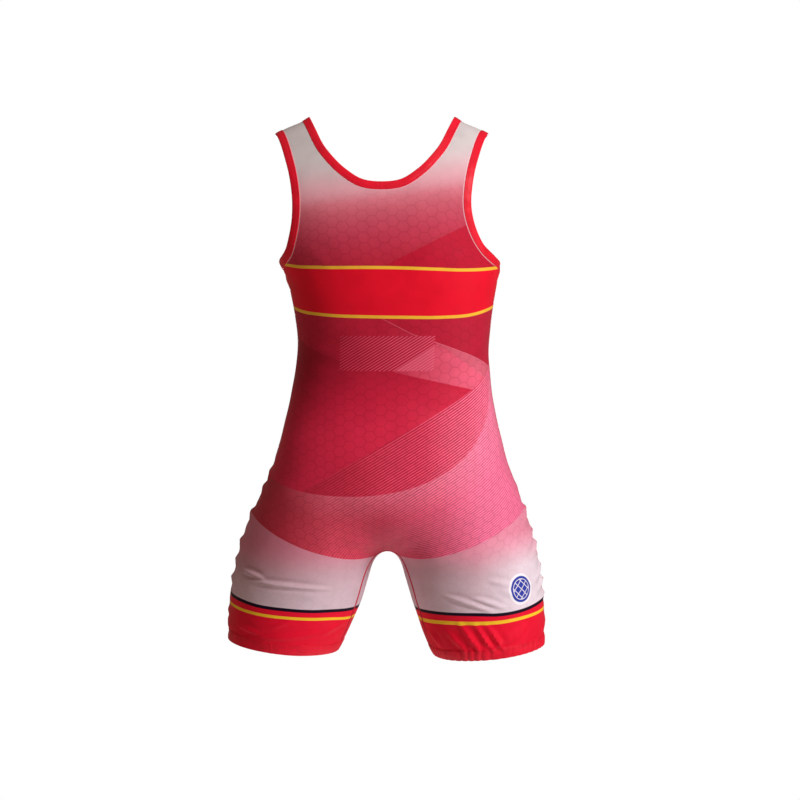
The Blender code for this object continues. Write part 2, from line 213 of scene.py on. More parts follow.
# The level where the knit meets the hem band, on the leg's axis. The outer end is a little higher.
CLOTH_END = -0.7340
HEM_TILT = 0.100
LEG_AT_HEM = (0.1470, -0.002)
# The inseam's turn round the leg there, from its outer side by the back.
INSEAM_TURN = np.radians(162.0)

# Half a panel as a grid: its columns, and its rows beside the armhole and neckline, below, and on the leg.
COLUMNS = 10
STRAP_ROWS = 16
BACK_NECK_ROWS = 10
FRONT_NECK_ROWS = 13
BODY_ROWS = 20
LEG_ROWS = 7
# How many steps the fine mesh has for each row of the first one above the crotch, each row of a leg,
# and each column.
FINER, FINER_LEG, FINER_ACROSS = 4, 14, 8
# How many steps a curve has while it is worked out, and a row of a panel.
FINE = 800
ROW_FINE = 120
# How far a row's chord bulges to the back or front, under the arms and at the crotch.
ROW_BULGE = (0.04, 0.10)
# The least drop from the neckline's middle to the first point of the table below it.
MIDDLE_DROP = 0.02
# Rounds of moving points onto the figure, of finding a ring round the leg, of evening out a grid, and of
# moving its points back onto the figure in each of those.
SKIN_ROUNDS = 8
RING_ROUNDS = 30
EVEN_ROUNDS = 40
EVEN_SKIN_ROUNDS = 2
# How many points of a closed line are repeated at each end while a smooth curve is drawn through them.
REPEATED = 3
# How far to each side of a point the figure's slope there is measured.
SLOPE_STEP = 0.0005
# Keeps powers of a zero distance from dividing by zero.
TINY = 1e-6


def held(value):
    """The value, held between none and one."""
    return np.clip(value, 0.0, 1.0)


def bell(distance, width):
    """One at no distance, falling away to nothing over about two widths."""
    return np.exp(-((distance / width) ** 2))


def eased(t, first, last, first_slope, last_slope):
    """A smooth step from one value to the next, by the share t of the way, with its slopes at both ends."""
    return (
        (1 + 2 * t) * (1 - t) ** 2 * first
        + t * (1 - t) ** 2 * first_slope
        + t * t * (3 - 2 * t) * last
        - t * t * (1 - t) * last_slope
    )


def through(table, column, at):
    """A smooth curve through one column of a table whose first column is its sorted key."""
    knots = np.array([row[0] for row in table])
    values = np.array([row[column] for row in table])
    slopes = np.gradient(values, knots)
    first = np.clip(np.searchsorted(knots, at) - 1, 0, len(knots) - 2)
    span = knots[first + 1] - knots[first]
    t = held((at - knots[first]) / span)
    return eased(t, values[first], values[first + 1], span * slopes[first], span * slopes[first + 1])


def union(one, other, rounding):
    """The nearer of two gaps, blended where they are within the rounding of each other."""
    near = np.maximum(rounding - np.abs(one - other), 0.0) / rounding
    return np.minimum(one, other) - near**2 * rounding / 4


def common(one, other, rounding):
    return -union(-one, -other, rounding)


def torso_gap(points):
    x, y, z = np.abs(points[:, 0]), points[:, 1], points[:, 2]
    half = through(TORSO, 1, z)
    back, front = through(TORSO, 2, z), through(TORSO, 3, z)
    power = through(TORSO, 4, z)
    deep = (back - front) / 2
    across = x / half + TINY
    along = np.abs(y - (back + front) / 2) / deep + TINY
    level = (across**power + along**power) ** (1 / power)
    steep = level ** (1 - power) * np.hypot(across ** (power - 1) / half, along ** (power - 1) / deep)
    return (level - 1) / steep


def leg_gap(points, side):
    x, y, z = points[:, 0] * side - HIP[0], points[:, 1] - HIP[1], points[:, 2] - HIP[2]
    outward = x * np.cos(LEG_SPLAY) + z * np.sin(LEG_SPLAY)
    down = z * np.cos(LEG_SPLAY) - x * np.sin(LEG_SPLAY)
    height = HIP[2] + down * np.cos(LEG_SPLAY)
    return np.hypot(outward, y / LEG_DEPTH) - through(LEG, 1, height)


def figure_gap(points):
    """How far each point is outside the figure, nearly, in metres."""
    x, z = np.abs(points[:, 0]), points[:, 2]
    roof = (z - SHOULDER_RISE) * np.cos(SHOULDER_SLOPE) + (x - STRAP_MIDDLE) * np.sin(SHOULDER_SLOPE)
    torso = common(torso_gap(points), roof, SHOULDER_ROUND)
    torso = common(torso, SEAT_FLOOR - z, SEAT_ROUND)
    legs = union(leg_gap(points, 1.0), leg_gap(points, -1.0), CROTCH_ROUND)
    return union(torso, legs, HIP_ROUND)


def uphill(points):
    """The direction away from the figure at each point, and its steepness there."""
    slope = np.empty_like(points)
    for axis in range(3):
        offset = np.zeros(3)
        offset[axis] = SLOPE_STEP
        slope[:, axis] = (figure_gap(points + offset) - figure_gap(points - offset)) / (2 * SLOPE_STEP)
    steepness = np.linalg.norm(slope, axis=1, keepdims=True)
    return slope / steepness, steepness


def on_figure(points, rounds=SKIN_ROUNDS):
    """The points moved onto the figure's skin."""
    shape = np.shape(points)
    flat = np.reshape(points, (-1, 3)).astype(float)
    for _ in range(rounds):
        normal, steepness = uphill(flat)
        flat = flat - normal * (figure_gap(flat)[:, None] / steepness)
    return flat.reshape(shape)


def normals(points):
    return uphill(np.reshape(points, (-1, 3)))[0].reshape(np.shape(points))


def posed(points):
    """Points of the upright and even garment, moved to where they are in the pose it is worn in."""
    moved = np.array(points, float)
    x, z = moved[..., 0].copy(), moved[..., 2].copy()
    share = held((CUFF_DROP_FROM - z) / (CUFF_DROP_FROM - CUFF_DROP_TO))
    moved[..., 0] += through(LEAN, 1, z)
    moved[..., 2] -= CUFF_DROP * share**2 * (3 - 2 * share) * (x < 0)
    return moved


def lengths_along(line):
    steps = np.linalg.norm(np.diff(line, axis=0), axis=-1)
    return np.concatenate((np.zeros_like(steps[:1]), np.cumsum(steps, axis=0)))


def part_of(line, count, start=0.0, end=1.0):
    """A stretch of a line between two shares of its length, in that many even steps."""
    distance = lengths_along(line)
    wanted = np.linspace(start, end, count + 1) * distance[-1]
    return np.stack([np.interp(wanted, distance, line[:, axis]) for axis in range(3)], axis=1)


def smooth_line(points, closed=False):
    """A smooth curve through the points, on the figure, as a fine line."""
    points = np.array(points, float)
    if closed:
        points = np.concatenate((points[-REPEATED:], points, points[: REPEATED + 1]))
    distance = lengths_along(points)
    table = np.column_stack((distance, points))
    ends = (distance[REPEATED], distance[-REPEATED - 1]) if closed else (0.0, distance[-1])
    at = np.linspace(*ends, FINE + 1)
    curve = np.stack([through(table, axis, at) for axis in (1, 2, 3)], axis=1)
    return part_of(on_figure(curve), FINE)


def inset(loop, distance):
    """A closed line moved sideways over the figure, to its left as seen from outside."""
    core = loop[:-1]
    ahead = np.roll(core, -1, axis=0) - np.roll(core, 1, axis=0)
    sideways = np.cross(normals(core), ahead)
    sideways /= np.linalg.norm(sideways, axis=1, keepdims=True)
    moved = on_figure(core + sideways * distance)
    return np.concatenate((moved, moved[:1]))


def crossing(loop, is_top):
    """Where on a closed loop it passes from back to front, at its top or at its bottom, as a step number."""
    level = SHOULDER_SEAM_Y if is_top else 0.0
    depth = loop[:, 1] - level
    found = np.nonzero(depth[:-1] * depth[1:] <= 0)[0]
    found = found[np.argmax(loop[found, 2])] if is_top else found[np.argmin(loop[found, 2])]
    return found + depth[found] / (depth[found] - depth[found + 1])


def at_steps(loop, steps):
    """Points of a closed loop at step numbers, which may run past its end."""
    whole = np.mod(steps, len(loop) - 1)
    numbers = np.arange(len(loop))
    return np.stack([np.interp(whole, numbers, loop[:, axis]) for axis in range(3)], axis=1)


def even_steps(loop, start, end, count):
    """That many rows from one step number to another, evenly spaced along the loop."""
    fine = np.linspace(start, end, FINE)
    distance = lengths_along(at_steps(loop, fine))
    return np.interp(np.linspace(0.0, distance[-1], count + 1), distance, fine)


class Edge:
    """A bound edge: the binding's free edge, its sewn edge, and the edge of the knit under that."""

    def __init__(self, points):
        self.free = smooth_line(points, closed=True)
        self.sewn = inset(self.free, BINDING_WIDE)
        self.cloth = inset(self.free, BINDING_WIDE - TUCK)


def armhole_rows(edge):
    """Step numbers of the rows down the back, and down the front, from the shoulder to under the arm."""
    top, base = crossing(edge.cloth, True), crossing(edge.cloth, False)
    if top > base:
        top -= FINE
    back = even_steps(edge.cloth, top, base, STRAP_ROWS)
    front = even_steps(edge.cloth, top + FINE, base, STRAP_ROWS)
    return back, front


def neckline_rows(edge):
    """Step numbers of the rows down the back, and down the front, from the left shoulder to the middle."""
    left = edge.cloth[: FINE // 2]
    top = crossing(left, True)
    back = even_steps(edge.cloth, top, 0.0, BACK_NECK_ROWS)
    front = even_steps(edge.cloth, top, FINE / 2, FRONT_NECK_ROWS)
    return back, front


def leg_ring(level, turns):
    """Points round the left leg in the hem's tilted plane, at turns from its outer side round by the back."""
    direction = np.stack((np.cos(turns), np.sin(turns), HEM_TILT * np.cos(turns)), axis=1)
    centre = np.array((*LEG_AT_HEM, level))
    radius = np.full(len(turns), LEG[0][1])
    for _ in range(RING_ROUNDS):
        radius = radius - figure_gap(centre + direction * radius[:, None])
    return centre + direction * radius[:, None]


def joined(*lines):
    return np.concatenate([lines[0]] + [line[1:] for line in lines[1:]])


def share_at_level(line, level):
    """How far along a falling line it reaches a height, as a share of its length."""
    distance = lengths_along(line)
    return np.interp(-level, -line[:, 2], distance) / distance[-1]


def side_points(top):
    below = smooth_line((top, *SIDE, leg_ring(CLOTH_END, np.zeros(1))[0]))
    crotch = share_at_level(below, CROTCH_LEVEL)
    return joined(part_of(below, BODY_ROWS, 0.0, crotch), part_of(below, LEG_ROWS, crotch, 1.0))


def middle_points(top, table, under_arm_level, neck_rows):
    below = [row for row in table if row[2] < top[2] - MIDDLE_DROP]
    line = smooth_line((top * (0, 1, 1), *below))
    level = share_at_level(line, under_arm_level)
    upper = part_of(line, STRAP_ROWS - neck_rows, 0.0, level)
    return joined(upper, part_of(line, BODY_ROWS, level, 1.0))


def inseam_points():
    end = leg_ring(CLOTH_END, np.array([INSEAM_TURN]))[0]
    return part_of(smooth_line((*INSEAM[:-1], end)), LEG_ROWS)


def row_over_figure(start, end, bulge):
    """Even steps over the figure from one point to another, by the way that a bulging chord shows."""
    share = np.linspace(0.0, 1.0, ROW_FINE + 1)[:, None]
    chord = start * (1 - share) + end * share
    chord[:, 1:2] += bulge * np.sin(np.pi * share)
    row = on_figure(chord)
    row[0], row[-1] = start, end
    return part_of(row, COLUMNS)


def half_panel(arm_points, neck_points, neck_rows, is_back):
    """The left half of a panel as rows of points, from its outer to its inner edge."""
    outer = joined(arm_points, side_points(arm_points[-1]))
    table = BACK_MIDDLE if is_back else FRONT_MIDDLE
    middle = middle_points(neck_points[-1], table, arm_points[-1, 2], neck_rows)
    inner = joined(neck_points, middle, inseam_points())
    rows = np.arange(len(outer))
    bulge = np.interp(rows, (0, STRAP_ROWS, STRAP_ROWS + BODY_ROWS), (0.0, *ROW_BULGE))
    bulge = bulge if is_back else -bulge
    grid = np.array([row_over_figure(*row) for row in zip(outer, inner, bulge, strict=True)])
    end = INSEAM_TURN if is_back else INSEAM_TURN - 2 * np.pi
    grid[-1] = part_of(leg_ring(CLOTH_END, np.linspace(0.0, end, FINE)), COLUMNS)
    return relaxed(grid)


def relaxed(grid):
    """The inner points of a grid evened out over the figure, with its edges left in place.

    Each moves to the mean of its neighbours, and the nearer pair of them counts for more.
    """
    tall = np.sum((grid[2:, 1:-1] - grid[:-2, 1:-1]) ** 2, axis=2, keepdims=True)
    wide = np.sum((grid[1:-1, 2:] - grid[1:-1, :-2]) ** 2, axis=2, keepdims=True)
    for _ in range(EVEN_ROUNDS):
        along = (grid[:-2, 1:-1] + grid[2:, 1:-1]) / 2
        across = (grid[1:-1, :-2] + grid[1:-1, 2:]) / 2
        grid[1:-1, 1:-1] = on_figure((along * wide + across * tall) / (wide + tall), EVEN_SKIN_ROUNDS)
    grid[1:-1, 1:-1] = on_figure(grid[1:-1, 1:-1])
    return grid


def refined(grid, stops, finer):
    """A grid with more steps to each of its own along its first axis, smooth between the given rows."""
    pieces = []
    for first, last, steps in zip(stops[:-1], stops[1:], finer, strict=True):
        part = grid[first : last + 1]
        slopes = np.gradient(part, axis=0)
        at = np.linspace(0.0, last - first, (last - first) * steps + 1)
        row = np.minimum(at.astype(int), last - first - 1)
        t = (at - row).reshape(-1, 1, 1)
        pieces.append(eased(t, part[row], part[row + 1], slopes[row], slopes[row + 1]))
    return joined(*pieces)


def fine_grid(grid, neck_rows):
    """The half panel's grid made fine, with its corners kept: at the neckline, underarm and crotch."""
    crotch = STRAP_ROWS + BODY_ROWS
    tall = refined(grid, (0, neck_rows, STRAP_ROWS, crotch, len(grid) - 1), (FINER, FINER, FINER, FINER_LEG))
    fine = refined(tall.swapaxes(0, 1), (0, COLUMNS), (FINER_ACROSS,)).swapaxes(0, 1)
    fine = on_figure(fine)
    fine[neck_rows * FINER : crotch * FINER + 1, -1, 0] = 0.0
    return fine


# Where creases lie on the back and the front: side (1 back, -1 front), start x and z, end x and z, width,
# height, and how far the middle bows upwards. A minus height is a trough.
CREASES = (
    (1, 0.1990, -0.6455, 0.0760, -0.6550, 0.0032, 0.0036, 0.0020),
    (1, 0.2090, -0.6330, 0.1740, -0.6415, 0.0032, 0.0027, 0.0010),
    (1, 0.1500, -0.6560, 0.0980, -0.6660, 0.0060, 0.0005, 0.0020),
    (1, 0.1850, -0.7250, 0.0950, -0.7180, 0.0044, 0.0014, -0.0030),
    (1, 0.1640, -0.7110, 0.1330, -0.7000, 0.0030, 0.0014, 0.0010),
    (1, 0.2150, -0.7120, 0.1800, -0.7210, 0.0036, 0.0016, 0.0000),
    (1, 0.0920, -0.7240, 0.0600, -0.7080, 0.0036, 0.0013, 0.0010),
    (1, -0.0800, -0.6640, -0.1560, -0.6890, 0.0035, 0.0033, 0.0030),
    (1, -0.1180, -0.6650, -0.1720, -0.6840, 0.0033, 0.0030, 0.0020),
    (1, -0.1420, -0.6400, -0.1830, -0.6530, 0.0040, 0.0020, 0.0010),
    (1, -0.1550, -0.6500, -0.1900, -0.6720, 0.0044, 0.0015, 0.0020),
    (1, -0.1000, -0.7000, -0.1370, -0.7420, 0.0034, 0.0033, 0.0030),
    (1, -0.1240, -0.7010, -0.1560, -0.7400, 0.0031, 0.0030, 0.0010),
    (1, -0.1400, -0.7040, -0.1700, -0.7400, 0.0036, 0.0034, 0.0030),
    (1, -0.0840, -0.7110, -0.1170, -0.7430, 0.0034, 0.0025, 0.0020),
    (1, -0.1900, -0.7080, -0.1480, -0.7340, 0.0032, 0.0026, -0.0020),
    (1, -0.2020, -0.7060, -0.1700, -0.7290, 0.0034, 0.0022, -0.0015),
    (1, -0.0640, -0.7160, -0.0830, -0.7420, 0.0031, 0.0016, 0.0010),
    (1, 0.1250, -0.3060, 0.0550, -0.3170, 0.0100, 0.0009, -0.0060),
    (1, 0.1330, -0.3420, 0.0740, -0.3430, 0.0090, 0.0010, -0.0040),
    (1, 0.1310, -0.3760, 0.0480, -0.3600, 0.0120, 0.0007, -0.0050),
    (1, -0.1300, -0.3150, -0.0560, -0.3300, 0.0100, 0.0010, -0.0050),
    (1, -0.1340, -0.3540, -0.0820, -0.3500, 0.0090, 0.0008, -0.0050),
    (1, -0.1290, -0.3900, -0.0400, -0.3700, 0.0120, 0.0007, -0.0040),
    (1, 0.0450, -0.3340, -0.0500, -0.3380, 0.0110, 0.0006, -0.0030),
    (1, 0.0080, -0.6060, 0.0700, -0.5800, 0.0070, 0.0010, 0.0050),
    (1, -0.0100, -0.6040, -0.0620, -0.5710, 0.0070, 0.0011, 0.0050),
    (1, 0.0330, -0.6180, 0.0900, -0.6180, 0.0080, 0.0009, 0.0060),
    (1, -0.0350, -0.6200, -0.0980, -0.6120, 0.0080, 0.0009, 0.0060),
    (1, 0.1180, -0.1620, 0.0780, -0.2060, 0.0090, 0.0008, 0.0040),
    (1, -0.1160, -0.1680, -0.0800, -0.2180, 0.0090, 0.0008, 0.0040),
    (-1, 0.1980, -0.6440, 0.0900, -0.6500, 0.0040, 0.0019, 0.0020),
    (-1, 0.1500, -0.6330, 0.0820, -0.6260, 0.0060, 0.0011, 0.0030),
    (-1, -0.0870, -0.6530, -0.1950, -0.6620, 0.0040, 0.0018, 0.0020),
    (-1, -0.1060, -0.6300, -0.1660, -0.6390, 0.0056, 0.0012, 0.0030),
    (-1, 0.1060, -0.7050, 0.1410, -0.7390, 0.0042, 0.0015, 0.0030),
    (-1, 0.1500, -0.7080, 0.1770, -0.7360, 0.0038, 0.0012, 0.0020),
    (-1, -0.0950, -0.7060, -0.1250, -0.7420, 0.0042, 0.0017, 0.0030),
    (-1, -0.1330, -0.7030, -0.1640, -0.7390, 0.0040, 0.0018, 0.0020),
    (-1, -0.1690, -0.7050, -0.1930, -0.7350, 0.0036, 0.0014, 0.0010),
    (-1, 0.1300, -0.3120, 0.0500, -0.3220, 0.0100, 0.0010, -0.0060),
    (-1, 0.1320, -0.3560, 0.0420, -0.3500, 0.0110, 0.0008, -0.0050),
    (-1, -0.1310, -0.3010, -0.0600, -0.3150, 0.0100, 0.0009, -0.0050),
    (-1, -0.1330, -0.3440, -0.0380, -0.3420, 0.0110, 0.0009, -0.0050),
    (-1, 0.0400, -0.3710, -0.0600, -0.3660, 0.0120, 0.0006, -0.0030),
    (-1, 0.0120, -0.6000, 0.0840, -0.5520, 0.0080, 0.0012, 0.0060),
    (-1, -0.0130, -0.5980, -0.0900, -0.5560, 0.0080, 0.0011, 0.0060),
    (-1, 0.0300, -0.6160, 0.1000, -0.5930, 0.0080, 0.0010, 0.0060),
    (-1, -0.0310, -0.6140, -0.1050, -0.5980, 0.0080, 0.0010, 0.0060),
)
# Puckers across the side seams: side of the wearer (1 left), height at the seam, drop towards the back
# for each metre, reach, width, height.
PUCKERS = (
    (1, -0.2180, 0.30, 0.030, 0.0060, 0.0012),
    (1, -0.4960, 0.45, 0.034, 0.0064, 0.0020),
    (1, -0.5180, 0.40, 0.040, 0.0058, 0.0020),
    (1, -0.5560, 0.35, 0.038, 0.0058, 0.0030),
    (1, -0.5980, 0.30, 0.036, 0.0056, 0.0026),
    (1, -0.6260, 0.20, 0.026, 0.0048, 0.0018),
    (1, -0.6520, 0.25, 0.030, 0.0052, 0.0022),
    (1, -0.7020, 0.20, 0.024, 0.0060, 0.0016),
    (1, -0.7180, 0.10, 0.030, 0.0066, 0.0022),
    (-1, -0.2050, 0.30, 0.026, 0.0058, 0.0014),
    (-1, -0.5180, 0.45, 0.030, 0.0060, 0.0007),
    (-1, -0.5500, 0.50, 0.036, 0.0050, 0.0028),
    (-1, -0.5820, 0.45, 0.030, 0.0046, 0.0020),
    (-1, -0.6010, 0.40, 0.034, 0.0044, 0.0026),
    (-1, -0.6340, 0.35, 0.040, 0.0046, 0.0030),
    (-1, -0.6540, 0.30, 0.034, 0.0042, 0.0026),
    (-1, -0.6760, 0.25, 0.028, 0.0046, 0.0018),
    (-1, -0.7120, 0.20, 0.030, 0.0056, 0.0014),
)
# A ridge has a softer trough on each side of it: how far off and how wide, in ridge widths, and what share
# as deep.
TROUGH_AT, TROUGH_WIDE, TROUGH_SHARE = 1.9, 1.1, 0.36
# How fast a crease tapers towards its ends, how wide its ends still are, as a share of its middle, and how
# fast creases and puckers fade as the knit turns away from their side.
TAPER, END_WIDE, FACING_SHARP = 0.8, 0.7, 3.0
# The small unevenness of worn knit: waves for each metre along x, y and z, phase, height.
UNEVENNESS = (
    (41.0, 23.0, 67.0, 0.4, 0.00022),
    (-59.0, 37.0, 43.0, 1.9, 0.00020),
    (83.0, -31.0, 97.0, 3.1, 0.00012),
    (29.0, 71.0, -131.0, 4.4, 0.00010),
)
# The gathers where the elastic draws the knit in: how many round a leg, and their height on each side.
GATHERS = 46
GATHER_TALL = {1: 0.00010, -1: 0.00085}
# How rounded their tops are, with narrow valleys between, and how far above the hem band they die out.
GATHER_ROUND = 0.7
GATHER_FADE = 0.016
# The mean of their depth. Then the slow waves that make their spacing and their depth uneven: how far each
# goes, how many round a leg, and how far it is shifted on each side.
GATHER_MEAN = 0.65
GATHER_SPACING = ((1.9, 3, 1.0), (1.3, 8, 2.0))
GATHER_DEPTH = ((0.35, 5, 1.2),)
# The uneven ripple that a side seam's thread draws into the knit, and the level that it starts from.
RIPPLE_PITCH, RIPPLE_TALL, RIPPLE_REACH = 0.0150, 0.0005, 0.012
RIPPLE_FROM, RIPPLE_FADE = -0.510, 0.060
# The mean of its depth, and the slow waves of its spacing and depth, as above but for each metre upwards.
RIPPLE_MEAN = 0.5
RIPPLE_SPACING = ((3.1, 47.0, 1.0), (1.7, 113.0, 0.0))
RIPPLE_DEPTH = ((0.5, 71.0, 2.3),)


def ridge(distance, width):
    """A rounded ridge with a soft trough beside it, one high at its middle."""
    beside = bell(np.abs(distance) / width - TROUGH_AT, TROUGH_WIDE)
    return bell(distance, width) - TROUGH_SHARE * beside


def slow_waves(at, table, sides):
    """The sum of a table's slow waves at each place."""
    return sum(far * np.sin(count * at + shift * sides) for far, count, shift in table)


def gathers(points, sides):
    """The heights of the gathers round each leg, uneven in spacing and depth."""
    out = np.abs(points[:, 0]) - LEG_AT_HEM[0]
    turn = np.arctan2(points[:, 1] - LEG_AT_HEM[1], out)
    above = points[:, 2] - CLOTH_END - HEM_TILT * out
    phase = GATHERS * turn + slow_waves(turn, GATHER_SPACING, sides)
    lobes = 2 * np.abs(np.sin(phase / 2)) ** GATHER_ROUND - 1
    tall = np.where(sides > 0, GATHER_TALL[1], GATHER_TALL[-1])
    deep = GATHER_MEAN + slow_waves(turn, GATHER_DEPTH, sides)
    return tall * deep * lobes * bell(np.maximum(above, 0.0), GATHER_FADE)


def relief(places):
    """How far the knit stands off the skin at each place: creases, puckers, unevenness, ripple, gathers."""
    points = np.reshape(places, (-1, 3))
    x, y, z = points.T
    away = normals(points)
    sides = np.where(x > 0, 1.0, -1.0)
    total = np.zeros(len(points))
    for side, x0, z0, x1, z1, width, height, bow in CREASES:
        long = np.hypot(x1 - x0, z1 - z0)
        share = held(((x - x0) * (x1 - x0) + (z - z0) * (z1 - z0)) / long**2)
        off = ((z - z0) * (x1 - x0) - (x - x0) * (z1 - z0)) / long * np.sign(x1 - x0)
        off = off - bow * 4 * share * (1 - share)
        taper = np.sin(np.pi * share) ** TAPER
        facing = held(away[:, 1] * side * FACING_SHARP)
        total += height * ridge(off, width * (END_WIDE + (1 - END_WIDE) * taper)) * taper * facing
    for side, level, drop, reach, width, height in PUCKERS:
        off = z - level + drop * np.abs(y)
        facing = held(away[:, 0] * side * FACING_SHARP) * (sides == side)
        total += height * ridge(off, width) * bell(y, reach) * facing
    for across, along, up, phase, height in UNEVENNESS:
        total += height * np.sin(across * x + along * y + up * z + phase)
    beat = 2 * np.pi * z / RIPPLE_PITCH + slow_waves(z, RIPPLE_SPACING, sides)
    deep = RIPPLE_MEAN + slow_waves(z, RIPPLE_DEPTH, sides)
    low = held((RIPPLE_FROM - z) / RIPPLE_FADE)
    facing = held(away[:, 0] * sides * FACING_SHARP - 1.0)
    total += RIPPLE_TALL * bell(y, RIPPLE_REACH) * np.sin(beat) * deep * low * facing
    return (total + gathers(points, sides)).reshape(np.shape(places)[:-1])


def lifted(places, lift):
    """Places on the skin moved out to the knit there, and as far again as lift."""
    rise = relief(places) + lift
    return places + normals(places) * rise[..., None]


# The print's lines. The chest band's two yellow lines: x, height of the upper one, of the lower one.
CHEST_LINES = (
    (-0.150, -0.1980, -0.2535),
    (-0.110, -0.1984, -0.2628),
    (-0.067, -0.1964, -0.2646),
    (-0.024, -0.1945, -0.2641),
    (0.033, -0.1936, -0.2635),
    (0.076, -0.1942, -0.2628),
    (0.101, -0.1943, -0.2617),
    (0.129, -0.1943, -0.2595),
    (0.150, -0.1925, -0.2535),
)
# The cuff's dark and yellow lines: x, height of each above the hem band.
CUFF_LINES = (
    (-0.230, 0.0450, 0.0302),
    (-0.200, 0.0414, 0.0305),
    (-0.167, 0.0414, 0.0310),
    (-0.122, 0.0468, 0.0343),
    (-0.079, 0.0493, 0.0368),
    (-0.046, 0.0504, 0.0372),
    (0.050, 0.0530, 0.0384),
    (0.078, 0.0535, 0.0411),
    (0.106, 0.0522, 0.0404),
    (0.140, 0.0516, 0.0396),
    (0.185, 0.0505, 0.0385),
    (0.210, 0.0517, 0.0386),
    (0.230, 0.0518, 0.0392),
)
# The arc between hips and legs: its lowest point, and its rise on each side for x squared.
SEAT_LOW = -0.6165
SEAT_RISE = {1: 1.55, -1: 1.75}
# The round edge between waist and hips: middle x and z, half width and height, and how square it is.
HIP_ROUND_AT, HIP_ROUND_HALF, HIP_ROUND_SQUARE = (0.066, -0.385), (0.2045, 0.132), 2.2
# The edge of the darker corner of the yoke: its height at x = 0, and its slope.
YOKE_EDGE = (-0.1884, -0.455)
# Straight edges on the flat knit, each by its height in the middle and its slope.
STRAIGHT_EDGES = {
    # The top of the hatching.
    "hatch": (-0.4414, -0.5727),
    # The pale wedge at the waist: its veil's top, its top, its fold, its foot and its inner edge.
    "veil": (-0.2735, 0.530),
    "wedge": (-0.2775, 0.377),
    "fold": (-0.2640, 0.630),
    "foot": (-0.3425, 0.235),
    "wedge side": (-0.3434, -0.654),
    # The top edge of painted shade at the left of the waist, where the light only grazes the back.
    "left shade": (-0.3534, 0.336),
}
# The badge print on the wearer's right leg, at its middle.
BADGE_AT = (-0.1915, 0.0724, -0.6578)
# How far off the front panel takes the badge to be, so that none of it shows there.
BADGE_FAR = 5.0


# The distances that the mesh hands to the print, three to a set.
PRINT_SETS = {
    "bands": ("upper", "lower", "yoke"),
    "cuffs": ("dark", "yellow", "seat"),
    "sweeps": ("circle", "hatch", "veil"),
    "wedge": ("wedge", "fold", "foot"),
    "badge": ("badge across", "badge up", "wedge side"),
    # The last of these bounds painted shade at the left of the waist.
    "rims": ("arm rim", "neck rim", "left shade"),
}


def print_distances(points, flat, is_back):
    """The distances that the print's edges are drawn from, by name, at points on the skin.

    One of them bounds painted shade at the left of the waist.
    """
    x, z = points[:, 0], points[:, 2]
    u, v = flat.T
    over_hem = z - CLOTH_END - HEM_TILT * (np.abs(x) - LEG_AT_HEM[0])
    rise = np.where(x > 0, SEAT_RISE[1], SEAT_RISE[-1])
    sideways = np.abs(x - HIP_ROUND_AT[0]) / HIP_ROUND_HALF[0]
    down = np.maximum(HIP_ROUND_AT[1] - z, 0.0) / HIP_ROUND_HALF[1]
    level = (sideways**HIP_ROUND_SQUARE + down**HIP_ROUND_SQUARE) ** (1 / HIP_ROUND_SQUARE)
    badge = np.argmin(np.linalg.norm(points - BADGE_AT, axis=1))
    from_badge = (flat - flat[badge]) * (-1, 1) + (0.0 if is_back else BADGE_FAR)
    distances = {name: v - height - slope * u for name, (height, slope) in STRAIGHT_EDGES.items()}
    return distances | {
        "upper": z - through(CHEST_LINES, 1, x),
        "lower": z - through(CHEST_LINES, 2, x),
        "yoke": z - YOKE_EDGE[0] - YOKE_EDGE[1] * x,
        "dark": over_hem - through(CUFF_LINES, 1, x),
        "yellow": over_hem - through(CUFF_LINES, 2, x),
        "seat": z - SEAT_LOW - rise * x * x,
        "circle": (level - 1) * HIP_ROUND_HALF[1],
        "badge across": from_badge[:, 0],
        "badge up": from_badge[:, 1],
    }


# The row of a panel's body that is at the waist, where heights on the flat knit are those on the figure.
WAIST_ROW = BODY_ROWS // 4


def flat_places(grid):
    """Where each point of a half panel lies on the flat knit: across from the middle, and up."""
    across = lengths_along(grid[:, ::-1].swapaxes(0, 1)).T[:, ::-1] + np.abs(grid[:, -1:, 0])
    down = lengths_along(grid)
    waist = (STRAP_ROWS + WAIST_ROW) * FINER
    up = down[waist] - down + grid[waist, :, 2]
    return np.stack((across, up), axis=-1)


def from_line(grid, line):
    """How far each point of a grid is from a fine line."""
    return np.array([np.min(np.linalg.norm(row[:, None] - line[None], axis=2), axis=1) for row in grid])


def strip_faces(index, closed=False):
    """Faces between the rows of a table of point numbers. Closed joins its last row to its first."""
    ahead = np.roll(index, -1, axis=0) if closed else index[1:]
    here = index if closed else index[:-1]
    return np.stack((here[:, :-1], ahead[:, :-1], ahead[:, 1:], here[:, 1:]), axis=-1).reshape(-1, 4)


def mostly_look(points, faces, outwards):
    """Whether most faces look the way that is given for each."""
    corners = points[faces]
    looks = np.cross(corners[:, 2] - corners[:, 0], corners[:, 3] - corners[:, 1])
    return np.median(np.sum(looks * outwards, axis=1)) > 0


def mesh_object(name, points, faces, materials, flat=None):
    """A new piece of the singlet, with a UV map where its flat places are given."""
    mesh = bpy.data.meshes.new(name)
    mesh.from_pydata(posed(points).tolist(), [], list(faces))
    for material in materials:
        mesh.materials.append(material)
    if flat is not None:
        layer = mesh.uv_layers.new(name="flat")
        corners = np.empty(len(mesh.loops), int)
        mesh.loops.foreach_get("vertex_index", corners)
        layer.data.foreach_set("uv", flat[corners].ravel())
    made = bpy.data.objects.new(name, mesh)
    bpy.context.scene.collection.objects.link(made)
    return made


# Faces that meet at less than this are shaded as one smooth surface.
SMOOTH_UNDER = np.radians(50.0)


def only(piece):
    """Makes this the one piece that the operators work on."""
    bpy.ops.object.select_all(action="DESELECT")
    piece.select_set(True)
    bpy.context.view_layer.objects.active = piece


